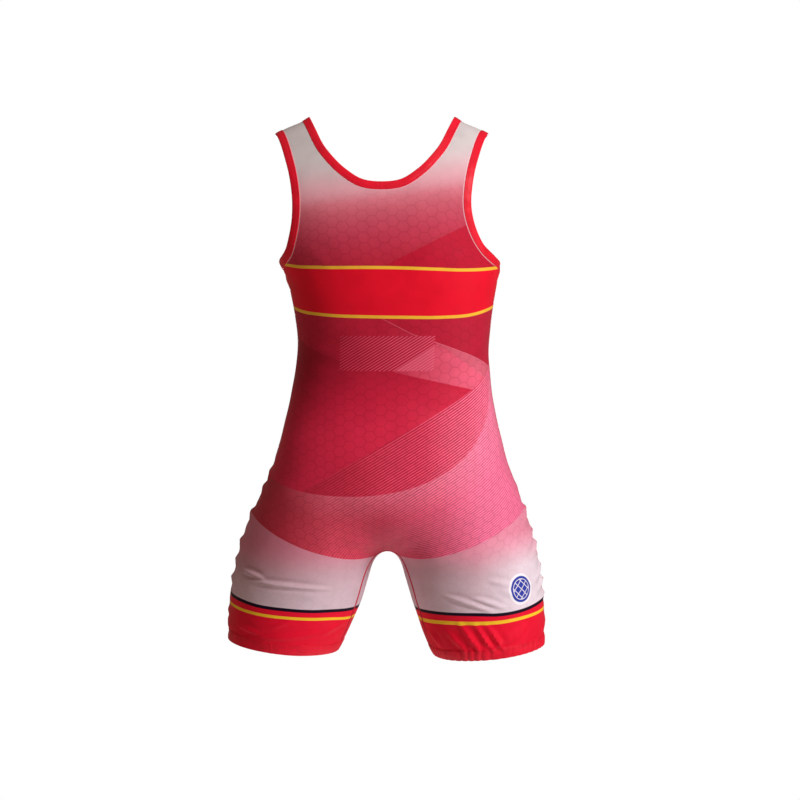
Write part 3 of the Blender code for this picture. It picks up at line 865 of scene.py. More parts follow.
def finished(piece):
    """Gives a piece its smooth shading and its body."""
    only(piece)
    bpy.ops.object.shade_smooth_by_angle(angle=SMOOTH_UNDER)
    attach(piece, "root")
    return piece


def panel(name, grid, neck_rows, is_back, edges, materials):
    """A panel of printed knit from the fine grid of its left half, with its creases and its thickness."""
    flat = flat_places(grid)
    index = np.arange(grid.shape[0] * grid.shape[1]).reshape(grid.shape[:2])
    right = index + index.size
    shared = slice(neck_rows * FINER, (STRAP_ROWS + BODY_ROWS) * FINER + 1)
    right[shared, -1] = index[shared, -1]
    skin = np.concatenate((grid.reshape(-1, 3), grid.reshape(-1, 3) * (-1, 1, 1)))
    flat = np.concatenate((flat.reshape(-1, 2), flat.reshape(-1, 2) * (-1, 1)))
    faces = np.concatenate((strip_faces(index), strip_faces(right)[:, ::-1]))
    used, renumbered = np.unique(faces, return_inverse=True)
    skin, flat, faces = skin[used], flat[used], renumbered.reshape(faces.shape)
    if not mostly_look(skin, faces, normals(skin[faces].mean(axis=1))):
        faces = faces[:, ::-1]
    piece = mesh_object(name, lifted(skin, KNIT_THICK), faces, materials, flat)
    distances = print_distances(skin, flat, is_back)
    for key, edge in zip(("arm rim", "neck rim"), edges, strict=True):
        distances[key] = np.tile(from_line(grid, edge.cloth).ravel(), 2)[used] - RIM_AT
    for key, names in PRINT_SETS.items():
        layer = piece.data.attributes.new(key, "FLOAT_VECTOR", "POINT")
        layer.data.foreach_set("vector", np.stack([distances[part] for part in names], axis=1).ravel())
    only(piece)
    thickness = piece.modifiers.new("thickness", "SOLIDIFY")
    thickness.thickness = KNIT_THICK
    thickness.offset = -1.0
    thickness.material_offset = 1
    thickness.material_offset_rim = 1
    bpy.ops.object.modifier_apply(modifier=thickness.name)
    return finished(piece)


# A band's section, round from its lower or free edge: how square it is, and how many points it has.
SECTION_SQUARE = 0.55
SECTION_POINTS = 32


def band(name, start, end, thick, dents, materials, slot, closed=True, count=SECTION_POINTS):
    """A band over the skin between two lines, rounded at both edges. Closed joins its two ends.

    Dents are heights to add on the outside, as a table of steps along by points of the section.
    """
    turn = np.linspace(0.0, 2 * np.pi, count, endpoint=False)
    share = 0.5 - 0.5 * np.sign(np.cos(turn)) * np.abs(np.cos(turn)) ** SECTION_SQUARE
    half = np.sign(np.sin(turn)) * np.abs(np.sin(turn)) ** SECTION_SQUARE * thick / 2
    places = start[:, None] * (1 - share[None, :, None]) + end[:, None] * share[None, :, None]
    places = on_figure(places)
    rise = BAND_LIFT + half[None] + dents(share) * (half > 0)
    points = lifted(places, rise)
    index = np.arange(points.shape[0] * points.shape[1]).reshape(points.shape[:2])
    index = np.column_stack((index, index[:, :1]))
    faces = strip_faces(index, closed)
    middles = np.repeat(points.mean(axis=1), count, axis=0)[: len(faces)]
    points = points.reshape(-1, 3)
    turned = not mostly_look(points, faces, points[faces].mean(axis=1) - middles)
    along = lengths_along(start)
    across = share * np.linalg.norm(end[0] - start[0])
    flat = np.stack(np.broadcast_arrays(along[:, None], across[None]), axis=-1).reshape(-1, 2)
    faces = faces.tolist()
    if not closed:
        faces += [index[0, -2::-1].tolist(), index[-1, :-1].tolist()]
    if turned:
        faces = [face[::-1] for face in faces]
    return finished(mesh_object(name, points, faces, materials, flat))


def linear(code):
    """A colour from its sRGB hex code, as linear red, green, blue and one."""
    parts = np.array([int(code[at : at + 2], 16) for at in (1, 3, 5)]) / 255
    parts = np.where(parts <= 0.04045, parts / 12.92, ((parts + 0.055) / 1.055) ** 2.4)
    return (*parts.tolist(), 1.0)


def add(tree, kind, inputs=(), out=0, stops=(), **settings):
    """Adds a node with its settings, its inputs in order or by name or number, and its ramp's stops.

    Returns one of its outputs.
    """
    made = tree.nodes.new("ShaderNode" + kind)
    for name, value in settings.items():
        setattr(made, name, value)
    for place, code in stops:
        made.color_ramp.elements.new(place).color = linear(code)
    if stops:
        made.color_ramp.elements.remove(made.color_ramp.elements[-1])
        made.color_ramp.elements.remove(made.color_ramp.elements[0])
    sockets = inputs if isinstance(inputs, dict) else dict(enumerate(inputs))
    for socket, value in sockets.items():
        if isinstance(value, bpy.types.NodeSocket):
            tree.links.new(value, made.inputs[socket])
        else:
            made.inputs[socket].default_value = value
    return made.outputs[out]


def reckon(tree, operation, *values, **settings):
    """A number worked out from others."""
    return add(tree, "Math", values, operation=operation, **settings)


def split(tree, vector, axes):
    """The parts of a vector along the named axes."""
    return [add(tree, "SeparateXYZ", (vector,), out=axis) for axis in axes]


def spread(tree, value, start, end, low=0.0, high=1.0):
    """A value moved from one range to another, and held inside it."""
    return add(tree, "MapRange", (value, start, end, low, high))


# Where a Mix node has its two colours and its result.
MIX_A, MIX_B, MIX_RESULT = 6, 7, 2


def mix(tree, amount, one, other, blend="MIX"):
    """A share of another colour laid over one."""
    inputs = {0: amount, MIX_A: one, MIX_B: other}
    return add(tree, "Mix", inputs, out=MIX_RESULT, data_type="RGBA", blend_type=blend)


def new_material(name):
    """A new material, with its nodes and its shader."""
    made = bpy.data.materials.new(name)
    made.use_nodes = True
    return made, made.node_tree, made.node_tree.nodes["Principled BSDF"]


def set_sockets(shader, values):
    for socket, value in values.items():
        shader.inputs[socket].default_value = value


# How soft a printed edge is, and an edge between two tones of a fold, and the widths of the printed lines.
PRINT_SOFT, FOLD_SOFT = 0.0006, 0.0012
CHEST_LINE, DARK_LINE, YELLOW_LINE, VEIL_LINE = 0.0044, 0.0048, 0.0042, 0.0010
# Where the veil's top and the wedge's top meet on the flat knit.
LINES_MEET = -0.026
# The honeycomb: from one flat side of a cell to the other, how much wider a cell is drawn, and its lines.
CELL, CELL_STRETCH, CELL_LINE, CELL_SOFT = 0.0150, 1.16, 0.0014, 0.0014
# The hatching and the patch's stripes: from one stripe to the next, and how steeply they rise.
STRIPES = {"hatching": (0.00350, np.radians(31.0)), "patch": (0.00355, np.radians(33.0))}
# The hatched patch on the lower back: its middle, and half its width and height, on the flat knit.
PATCH_AT, PATCH_HALF = (0.0083, -0.316), (0.0675, 0.0254)
# The badge: its round edge, its blue, its ring, the ring's width, and the lattice's pitch and line.
BADGE_ROUND, BADGE_BLUE, BADGE_RING, BADGE_RING_WIDE = 0.0230, 0.0192, 0.0150, 0.0010
LATTICE_PITCH, LATTICE_LINE = 0.0088, 0.0012
# The thin light line beside a binding, and how far the middle of it is from the knit's edge.
RIM_WIDE, RIM_AT = 0.0014, 0.0026
# The ranges of height and of x that the grounds fade over.
RAMP_LEVELS, RAMP_SIDES = (-0.700, 0.030), (0.25, -0.25)
# How much higher the yoke's fade lies towards the right, for each metre.
YOKE_TILT = 0.12
# How the printed grounds fade: height or x, and colour there.
TORSO_INK = (
    (0.020, "#D2CECC"),
    (-0.035, "#D6CFCD"),
    (-0.050, "#DAC8C9"),
    (-0.063, "#DEBABE"),
    (-0.075, "#E5AFB6"),
    (-0.086, "#E39EA8"),
    (-0.098, "#DC7C8A"),
    (-0.112, "#D26373"),
    (-0.128, "#CC5064"),
    (-0.145, "#C84057"),
    (-0.165, "#C4334A"),
    (-0.190, "#C0263C"),
    (-0.280, "#C0203A"),
    (-0.340, "#BE1F3A"),
    (-0.380, "#CC2240"),
    (-0.420, "#DC2A4A"),
    (-0.500, "#D42C4A"),
)
LEG_INK = (
    (-0.500, "#F49CB4"),
    (-0.590, "#EE98AE"),
    (-0.605, "#E29AAC"),
    (-0.620, "#D6A4B0"),
    (-0.634, "#D0AEB8"),
    (-0.650, "#D6BCC5"),
    (-0.680, "#DAC6CF"),
)
HIP_INK = (
    (0.140, "#BF3547"),
    (0.070, "#E25065"),
    (0.000, "#DE4A64"),
    (-0.080, "#FA7090"),
    (-0.140, "#FF86AC"),
)
HIP_LINE_INK = (
    (0.140, "#A42A3E"),
    (0.040, "#B42C42"),
    (-0.060, "#C63E5A"),
    (-0.140, "#DC5678"),
)
HATCH_INK = (
    (0.140, "#BC263C"),
    (0.040, "#C0203C"),
    (-0.060, "#BE163A"),
    (-0.120, "#CC2448"),
    (-0.150, "#E04C6C"),
)
HATCH_LINE_INK = (
    (0.140, "#CC4056"),
    (0.040, "#E44C64"),
    (-0.060, "#F05876"),
    (-0.140, "#FF8AA8"),
)
YOKE_INK, BAND_INK, CUFF_INK = "#C31633", "#EC112C", "#F01434"
VEIL_INK, WEDGE_INK, WEDGE_LIGHT_INK = "#E04664", "#EE6680", "#F58AA0"
# Of the colours on the next line, the first is painted shade for the left of the waist, where the light only
# grazes the back, and the last is painted light for the outer side of the right leg.
LEFT_SHADE_INK, GLOW_INK, RIM_INK, LEG_LIGHT_INK = "#8A0E20", "#FFA6BE", "#FFDCE2", "#F6EEF6"
PATCH_INK, PATCH_LINE_INK = "#B80A30", "#F27890"
# Of the colours on the next line, the first is painted shade for the upper part of the left leg, on the side
# away from the key light.
LEG_SHADE_INK, LEG_LINE_INK, CELL_INK, LEG_CELL_INK = "#A04A58", "#E47896", "#7E1026", "#B04860"
YELLOW_INK, CUFF_YELLOW_INK, DARK_INK = "#F6C23A", "#FFD030", "#150A20"
BADGE_INK, BADGE_WHITE = "#3242A8", "#F8F6FA"
# The edges of the print and of its painted shade and light: the value that each is drawn from,
# where it lies, its direction, and how soft it is.
PRINT_EDGES = {
    "over chest": ("upper", 0.0, 1, PRINT_SOFT),
    "above band": ("upper", 0.004, 1, 0.004),
    "under upper": ("upper", 0.0, -1, PRINT_SOFT),
    "over lower": ("lower", 0.0, 1, PRINT_SOFT),
    "under chest": ("lower", 0.0, -1, PRINT_SOFT),
    "under yoke edge": ("yoke", 0.0, -1, 0.0020),
    "yoke side": ("x", 0.010, -1, 0.060),
    # The next three edges bound painted shade at the left of the waist.
    "under left shade": ("left shade", 0.0, -1, FOLD_SOFT),
    "left shade level": ("z", -0.362, 1, 0.050),
    "left shade side": ("u", 0.075, 1, 0.070),
    "under veil top": ("veil", 0.0, -1, FOLD_SOFT),
    "under wedge top": ("wedge", 0.0, -1, FOLD_SOFT),
    "under fold": ("fold", 0.0, -1, FOLD_SOFT),
    "over fold": ("fold", 0.0, 1, FOLD_SOFT),
    "over wedge foot": ("foot", 0.0, 1, FOLD_SOFT),
    "under wedge side": ("wedge side", 0.0, -1, FOLD_SOFT),
    "wedge fade": ("u", -0.055, -1, 0.150),
    "veil line side": ("u", 0.020, -1, 0.030),
    "veil line end": ("u", LINES_MEET, 1, 0.010),
    "wedge line side": ("u", LINES_MEET, -1, 0.010),
    "outside circle": ("circle", 0.0, 1, FOLD_SOFT),
    "inside circle": ("circle", 0.0, -1, FOLD_SOFT),
    "near circle": ("circle", 0.019, -1, 0.038),
    "under waist": ("z", -0.330, -1, 0.004),
    "under hatch top": ("hatch", 0.0, -1, FOLD_SOFT),
    "hatch fade": ("x", 0.118, -1, 0.050),
    "legs": ("seat", 0.0, -1, PRINT_SOFT),
    "body": ("seat", 0.0, 1, PRINT_SOFT),
    # The next two edges bound painted light on the outer side of the right leg.
    "leg lit side": ("x", -0.168, -1, 0.070),
    "leg lit level": ("z", -0.600, -1, 0.050),
    # The next two edges bound painted shade on the upper left leg.
    "leg shade side": ("x", 0.100, 1, 0.080),
    "leg shade level": ("z", -0.620, 1, 0.070),
    "leg hatch side": ("x", -0.090, -1, 0.090),
    "leg hatch level": ("z", -0.598, 1, 0.050),
    "lines fade": ("x", 0.070, -1, 0.150),
    "hatching": ("hatching", 0.10, 1, 0.8),
    "gaps": ("hatching", -0.10, -1, 0.8),
    "patch lines": ("patch", 0.35, 1, 0.7),
    "patch side": ("x", 0.060, -1, 0.200),
    "patch across": ("patch across", 0.0, 1, FOLD_SOFT),
    "patch up": ("patch up", 0.0, 1, FOLD_SOFT),
    "cell lines": ("cell side", CELL_LINE / 2, -1, CELL_SOFT),
    "cell level": ("tilted", -0.100, -1, 0.060),
    "cells side": ("x", 0.020, 1, 0.160),
    "cuff": ("dark", 0.0, -1, PRINT_SOFT),
    "badge": ("from badge", BADGE_ROUND, -1, PRINT_SOFT),
    "blue": ("from badge", BADGE_BLUE, -1, PRINT_SOFT),
    "in ring": ("from badge", BADGE_RING, -1, PRINT_SOFT),
    "lattice": ("lattice", LATTICE_LINE / 2, -1, PRINT_SOFT),
}
# The thin printed lines: the value that is zero along the middle of each, and its width.
PRINT_LINES = {
    "upper line": ("upper", CHEST_LINE),
    "lower line": ("lower", CHEST_LINE),
    "veil line": ("veil", VEIL_LINE),
    "wedge line": ("wedge", VEIL_LINE),
    "dark line": ("dark", DARK_LINE),
    "yellow line": ("yellow", YELLOW_LINE),
    "ring line": ("badge ring", BADGE_RING_WIDE),
    "arm rim": ("arm rim", RIM_WIDE),
    "neck rim": ("neck rim", RIM_WIDE),
}
# The grounds that fade from one colour to another: the value and the range they fade over, their colours.
GROUNDS = {
    "torso ground": ("tilted", RAMP_LEVELS, TORSO_INK),
    "leg ground": ("z", RAMP_LEVELS, LEG_INK),
    "hip ground": ("x", RAMP_SIDES, HIP_INK),
    "hip line ground": ("x", RAMP_SIDES, HIP_LINE_INK),
    "hatch ground": ("x", RAMP_SIDES, HATCH_INK),
    "hatch line ground": ("x", RAMP_SIDES, HATCH_LINE_INK),
}
# The layers over the torso's ground, upwards: colour or ground, strength, the edges and lines that bound it.
# Two of them are painted shade and one is painted light, as marked below.
PRINT_LAYERS = (
    (YOKE_INK, 0.90, ("under yoke edge", "yoke side", "over chest")),
    # Painted shade: the left of the waist is darkened where the light only grazes the back.
    (LEFT_SHADE_INK, 0.40, ("under left shade", "left shade level", "left shade side")),
    (VEIL_INK, 0.62, ("under veil top", "over wedge foot", "wedge fade", "under chest")),
    (WEDGE_INK, 0.95, ("under wedge side", "under fold", "over wedge foot", "wedge fade", "under chest")),
    (WEDGE_LIGHT_INK, 0.50, ("under wedge top", "over fold", "wedge fade", "under chest")),
    (WEDGE_LIGHT_INK, 0.40, ("veil line", "veil line side", "veil line end", "under chest")),
    (WEDGE_LIGHT_INK, 0.40, ("wedge line", "wedge line side")),
    (CELL_INK, 0.22, ("cell lines", "cell level")),
    ("hatch ground", 0.95, ("inside circle", "under hatch top", "hatch fade")),
    ("hip ground", 1.0, ("outside circle", "under waist", "body")),
    (GLOW_INK, 0.42, ("outside circle", "near circle", "under waist", "lines fade", "body")),
    ("hatch line ground", 0.95, ("inside circle", "under hatch top", "lines fade", "hatching")),
    ("hip line ground", 0.85, ("outside circle", "under hatch top", "lines fade", "gaps", "body")),
    (CELL_INK, 0.04, ("cell lines", "outside circle", "cells side", "body")),
    (CELL_INK, 0.19, ("cell lines", "under hatch top", "body")),
    (PATCH_INK, 0.90, ("patch across", "patch up")),
    (VEIL_INK, 0.40, ("patch across", "patch up", "wedge fade")),
    (WEDGE_INK, 0.50, ("patch across", "patch up", "under wedge side")),
    (PATCH_LINE_INK, 0.60, ("patch across", "patch up", "patch lines", "patch side")),
    ("leg ground", 1.0, ("legs",)),
    # Painted shade: the upper left leg is darkened on the side away from the key light.
    (LEG_SHADE_INK, 0.40, ("legs", "leg shade side", "leg shade level")),
    # Painted light: the outer side of the right leg is made paler where the key light falls on it.
    (LEG_LIGHT_INK, 0.72, ("legs", "leg lit side", "leg lit level")),
    (LEG_LINE_INK, 0.50, ("legs", "leg hatch side", "leg hatch level", "hatching")),
    (LEG_CELL_INK, 0.08, ("cell lines", "legs")),
    (LEG_CELL_INK, 0.14, ("cell lines", "legs", "leg hatch side", "leg hatch level")),
    (BAND_INK, 1.0, ("under upper", "over lower")),
    (YELLOW_INK, 1.0, ("upper line",)),
    (YELLOW_INK, 1.0, ("lower line",)),
    (RIM_INK, 0.55, ("arm rim", "above band")),
    (RIM_INK, 0.25, ("neck rim", "above band")),
    (CUFF_INK, 1.0, ("cuff",)),
    (DARK_INK, 1.0, ("dark line",)),
    (CUFF_YELLOW_INK, 1.0, ("yellow line",)),
    (BADGE_WHITE, 1.0, ("badge",)),
    (BADGE_INK, 1.0, ("blue",)),
    (BADGE_WHITE, 1.0, ("ring line",)),
    (BADGE_WHITE, 0.9, ("in ring", "lattice")),
)
# The range that most values of a noise texture lie in.
NOISE_RANGE = (0.3, 0.7)
# The plain cloths and threads: name, colour, the deeper colour of the spots, roughness, loop size, sheen.
PLAIN_CLOTHS = (
    ("unprinted knit inside", "#E9E2E2", "#DCCFD0", 0.62, 0.0016, 0.04),
    ("red folded tricot binding", "#EC1730", "#B00C20", 0.42, 0.0012, 0.03),
    ("red knit over elastic", "#F01434", "#B00C20", 0.46, 0.0014, 0.03),
    ("red polyester thread", "#C81C38", "#B00C20", 0.50, 0.0010, 0.03),
    ("bright red polyester thread", "#F01434", "#B00C20", 0.50, 0.0010, 0.03),
)
# Where a plain cloth's spots begin on its noise and where they are full, and how strong they are then.
SPOTS_FROM, SPOTS_FULL, SPOTS_STRONG = 0.42, 0.70, 0.30
# How much roughness varies on a plain cloth.
ROUGH_VARIES = 0.05
# The printed knit: the size of its loops, and the ranges of its shade and roughness.
PRINTED_LOOP, PRINTED_SHADES, PRINTED_ROUGH = 0.0016, (0.94, 1.03), (0.46, 0.56)


def striped(tree, flat, pitch, rise):
    """Waves over the flat knit, from minus one to one, for stripes that rise at an angle."""
    turned = add(tree, "VectorRotate", {"Vector": flat, "Angle": rise}, rotation_type="Z_AXIS")
    beat = reckon(tree, "MULTIPLY", *split(tree, turned, "Y"), 2 * np.pi / pitch)
    return reckon(tree, "SINE", beat)


def honeycomb(tree, flat):
    """How far each place on the flat knit is from the nearest side of its six-sided cell."""
    # The cells' middles lie on two grids of upright boxes, one shifted by half a box from the other.
    half_box = (3**0.5 / 2, 0.5, 0.5)
    low = tuple(-value for value in half_box)
    slant = (3**0.5 / 2, 0.5, 0.0)
    in_cells = (1 / CELL / CELL_STRETCH, 1 / CELL, 1 / CELL)
    scaled = add(tree, "VectorMath", (flat, in_cells), operation="MULTIPLY")
    cells = []
    for shift in ((0.0, 0.0, 0.0), half_box):
        moved = add(tree, "VectorMath", (scaled, shift), operation="SUBTRACT")
        inside = add(tree, "VectorMath", (moved, half_box, low), operation="WRAP")
        inside = add(tree, "VectorMath", (inside,), operation="ABSOLUTE")
        slanted = add(tree, "VectorMath", (inside, slant), out="Value", operation="DOT_PRODUCT")
        cells.append(reckon(tree, "MAXIMUM", slanted, *split(tree, inside, "Y")))
    return reckon(tree, "MULTIPLY_ADD", reckon(tree, "MINIMUM", *cells), -CELL, CELL / 2)


def badge_lattice(tree, badge_at):
    """How far each place on the badge is from the nearest line of its lattice."""
    turned = add(tree, "VectorRotate", {"Vector": badge_at, "Angle": np.pi / 4}, rotation_type="Z_AXIS")
    gaps = [reckon(tree, "PINGPONG", along, LATTICE_PITCH / 2) for along in split(tree, turned, "XY")]
    return reckon(tree, "MINIMUM", *gaps)


def print_values(tree, flat, place):
    """Everything that the print is drawn from, by name: places, distances, stripes and cells."""
    values = dict(zip("uv", split(tree, flat, "XY"), strict=True))
    values.update(zip("xz", split(tree, place, "XZ"), strict=True))
    for name, parts in PRINT_SETS.items():
        vector = add(tree, "Attribute", out="Vector", attribute_name=name)
        values.update(zip(parts, split(tree, vector, "XYZ"), strict=True))
    values["tilted"] = reckon(tree, "MULTIPLY_ADD", values["x"], YOKE_TILT, values["z"])
    for name, (pitch, rise) in STRIPES.items():
        values[name] = striped(tree, flat, pitch, rise)
    values["cell side"] = honeycomb(tree, flat)
    badge_at = add(tree, "CombineXYZ", (values["badge across"], values["badge up"]))
    values["from badge"] = add(tree, "VectorMath", (badge_at,), out="Value", operation="LENGTH")
    values["badge ring"] = reckon(tree, "SUBTRACT", values["from badge"], BADGE_RING)
    values["lattice"] = badge_lattice(tree, badge_at)
    sides = zip("uv", ("patch across", "patch up"), PATCH_AT, PATCH_HALF, strict=True)
    for part, name, middle, half in sides:
        off = reckon(tree, "ABSOLUTE", reckon(tree, "SUBTRACT", values[part], middle))
        values[name] = reckon(tree, "SUBTRACT", half, off)
    return values


def print_masks(tree, values):
    """How far each place is inside each of the print's edges and lines, from none to one."""
    masks = {}
    for name, (value, at, way, soft) in PRINT_EDGES.items():
        level = 0.5 - way * at / soft
        masks[name] = reckon(tree, "MULTIPLY_ADD", values[value], way / soft, level, use_clamp=True)
    for name, (value, width) in PRINT_LINES.items():
        off = reckon(tree, "ABSOLUTE", values[value])
        level = 0.5 + width / 2 / PRINT_SOFT
        masks[name] = reckon(tree, "MULTIPLY_ADD", off, -1 / PRINT_SOFT, level, use_clamp=True)
    return masks


def print_grounds(tree, values):
    """The grounds that fade from one colour to another, by name."""
    grounds = {}
    for name, (value, (low, high), table) in GROUNDS.items():
        stops = sorted(((at - low) / (high - low), code) for at, code in table)
        share = spread(tree, values[value], low, high)
        grounds[name] = add(tree, "ValToRGB", (share,), stops=stops)
    return grounds


def knit_surface(tree, flat, loop):
    """The relief of fine knit: its loops, drawn coarser than real ones so that they show at all."""
    waves = add(tree, "VectorMath", {0: flat, "Scale": 2 * np.pi / loop}, operation="SCALE")
    waves = add(tree, "VectorMath", (waves,), operation="SINE")
    height = reckon(tree, "MULTIPLY", *split(tree, waves, "XY"))
    return add(tree, "Bump", {"Height": height, "Strength": 0.25, "Distance": 0.0001}, out="Normal")


def printed_knit():
    """Sublimation print on polyester and elastane tricot: a smooth knit with a low satin gloss.

    Some painted shade and painted light lie over the print, as marked in its layers.
    """
    made, tree, shader = new_material("printed tricot knit")
    flat = add(tree, "UVMap", uv_map="flat")
    place = add(tree, "TexCoord", out="Object")
    values = print_values(tree, flat, place)
    masks = print_masks(tree, values)
    grounds = print_grounds(tree, values)
    colour = grounds["torso ground"]
    for ink, strength, bounds in PRINT_LAYERS:
        area = masks[bounds[0]]
        for name in bounds[1:]:
            area = reckon(tree, "MULTIPLY", area, masks[name])
        area = reckon(tree, "MULTIPLY", area, strength)
        colour = mix(tree, area, colour, grounds[ink] if ink in grounds else linear(ink))

    # Worn print is a little uneven.
    patchy = add(tree, "TexNoise", {"Vector": place, "Scale": 38.0, "Detail": 3.0}, noise_dimensions="3D")
    shade = spread(tree, patchy, *NOISE_RANGE, *PRINTED_SHADES)
    gloss = spread(tree, patchy, *NOISE_RANGE, *PRINTED_ROUGH)
    tree.links.new(mix(tree, 1.0, colour, shade, "MULTIPLY"), shader.inputs["Base Color"])
    tree.links.new(knit_surface(tree, flat, PRINTED_LOOP), shader.inputs["Normal"])
    tree.links.new(gloss, shader.inputs["Roughness"])
    set_sockets(shader, {"Specular IOR Level": 0.09, "Sheen Weight": 0.03, "Sheen Roughness": 0.45})
    return made


def plain_cloth(name, code, deeper, rough, loop, sheen):
    """Plain dyed cloth or thread of one colour, a little uneven, with the fine grain of its knit."""
    made, tree, shader = new_material(name)
    flat = add(tree, "UVMap", uv_map="flat")
    place = add(tree, "TexCoord", out="Object")
    patchy = add(tree, "TexNoise", {"Vector": place, "Scale": 60.0, "Detail": 4.0})
    amount = spread(tree, patchy, SPOTS_FROM, SPOTS_FULL, 0.0, SPOTS_STRONG)
    gloss = spread(tree, patchy, *NOISE_RANGE, rough - ROUGH_VARIES, rough + ROUGH_VARIES)
    tree.links.new(mix(tree, amount, linear(code), linear(deeper)), shader.inputs["Base Color"])
    tree.links.new(knit_surface(tree, flat, loop), shader.inputs["Normal"])
    tree.links.new(gloss, shader.inputs["Roughness"])
    set_sockets(shader, {"Specular IOR Level": 0.18, "Sheen Weight": sheen, "Sheen Roughness": 0.40})
    return made


# Stitches of a coverstitch row: from one to the next, and a stitch's length, width and height.
STITCH_PITCH = 0.0033
STITCH = (0.0026, 0.0006, 0.0005)
# How many sides and rings its rounded body has.
STITCH_SIDES, STITCH_RINGS = 6, 4
# Where the rows lie across a binding and a hem band, as shares of the width, how wide the furrow of each is
# and how deep, and how far a stitch sinks into it.
BINDING_ROW, HEM_ROWS, ROW_WIDE, HEM_ROW_WIDE = 0.80, (0.80, 0.93), 0.045, 0.030
ROW_DEEP, STITCH_SUNK = 0.00033, 0.0003
# The soft fold of a binding: its middle and width as shares of the binding's, and the height of its pulls.
FOLD_AT, FOLD_WIDE, PULL_TALL = 0.42, 0.30, 0.00018
# The uneven pulls of the stitching, for each step of the loop: their beat, how far and how fast it drifts,
# and the slow beat that they swell with, from where in it.
PULL_BEAT, PULL_DRIFT, PULL_DRIFT_BEAT, PULL_SWELL_BEAT, PULL_SWELL_FROM = 0.31, 1.3, 0.053, 0.021, 1.0
# The elastic's ribs, and the upright join of the left one: its turn from the outer side, width and height.
HEM_RIBS, HEM_RIB_TALL = 5.0, 0.00012
HEM_JOIN_AT, HEM_JOIN_WIDE, HEM_JOIN_TALL = 1.36, 0.011, 0.0005
# A flatlock seam: its width, its thickness, the step of its mesh, and the points of its section.
SEAM_WIDE, SEAM_THICK, SEAM_STEP, SEAM_POINTS = 0.0044, 0.0014, 0.0005, 14
# Its threads: from one to the next, their slant as a share of that, and their height.
SEAM_THREAD, SEAM_SLANT, SEAM_THREAD_TALL = 0.0019, 0.7, 0.00035
# Where its lower edges start, as a share of its width from the middle, and how much lower they are.
SEAM_EDGE, SEAM_EDGE_DROP = 0.32, 0.0002
# How far in front of the panels' meeting edges the side seams' thread lies.
SIDE_SEAM_FORWARD = 0.0034
# How many steps a hem band has round the leg.
HEM_STEPS = 520
# The step of its loop where each binding's ends are joined, and how wide, in steps, and deep the join is.
JOIN_STEP = {"neck": 3, "armhole": 395}
JOIN_STEPS_WIDE, JOIN_DEEP = 1.4, 0.00018


def stitches(name, line, lift, thread):
    """A row of short stitches along a closed line over the knit."""
    loop = np.concatenate((line, line[:1]))
    count = int(lengths_along(loop)[-1] / STITCH_PITCH)
    middles = part_of(loop, count)[:-1]
    ahead = np.roll(middles, -1, axis=0) - np.roll(middles, 1, axis=0)
    ahead /= np.linalg.norm(ahead, axis=1, keepdims=True)
    away = normals(middles)
    beside = np.cross(away, ahead)
    bpy.ops.object.select_all(action="DESELECT")
    bpy.ops.mesh.primitive_uv_sphere_add(segments=STITCH_SIDES, ring_count=STITCH_RINGS, radius=0.5)
    pattern = bpy.context.object
    shape = np.array([vertex.co[:] for vertex in pattern.data.vertices]) * STITCH
    faces = [list(face.vertices) for face in pattern.data.polygons]
    bpy.data.objects.remove(pattern, do_unlink=True)
    points = lifted(middles, lift)[:, None] + shape @ np.stack((ahead, beside, away), axis=1)
    firsts = range(0, count * len(shape), len(shape))
    all_faces = [[first + corner for corner in face] for first in firsts for face in faces]
    return finished(mesh_object(name, points.reshape(-1, 3), all_faces, [thread]))


def seam(name, line, thread):
    """A flatlock seam: a flat band of thread over the line where two pieces of knit meet."""
    count = int(lengths_along(line)[-1] / SEAM_STEP)
    line = on_figure(part_of(line, count))
    ahead = np.gradient(line, axis=0)
    beside = np.cross(normals(line), ahead)
    beside *= SEAM_WIDE / 2 / np.linalg.norm(beside, axis=1, keepdims=True)

    def threads(share):
        turns = np.arange(count + 1)[:, None] * SEAM_STEP / SEAM_THREAD + share[None] * SEAM_SLANT
        edge = np.abs(share - 0.5) > SEAM_EDGE
        return SEAM_THREAD_TALL * np.abs(np.sin(np.pi * turns)) - SEAM_EDGE_DROP * edge

    sides = (line - beside, line + beside)
    return band(name, *sides, SEAM_THICK, threads, [thread], "binding", closed=False, count=SEAM_POINTS)


def bound_edge(name, edge, side, materials, thread):
    """A folded binding with its coverstitch row and the short join where its two ends meet.

    The side is 1 as the edge is given, and -1 for its mirror image.
    """
    free, sewn = edge.free[:-1] * (side, 1, 1), edge.sewn[:-1] * (side, 1, 1)
    step = np.arange(len(free))
    join = bell(step - JOIN_STEP[name.split("_")[0]], JOIN_STEPS_WIDE)
    pull = np.sin(step * PULL_BEAT + PULL_DRIFT * np.sin(step * PULL_DRIFT_BEAT))
    pull *= np.sin(step * PULL_SWELL_BEAT + PULL_SWELL_FROM)

    def dents(share):
        row = bell(share - BINDING_ROW, ROW_WIDE)
        fold = bell(share - FOLD_AT, FOLD_WIDE)
        return PULL_TALL * pull[:, None] * fold[None] - ROW_DEEP * row[None] - JOIN_DEEP * join[:, None]

    piece = band(name, free, sewn, BINDING_THICK, dents, materials, "binding")
    row = on_figure(free * (1 - BINDING_ROW) + sewn * BINDING_ROW)
    stitches(name + "_stitches", row, BAND_LIFT + BINDING_THICK / 2 - STITCH_SUNK, thread)
    return piece


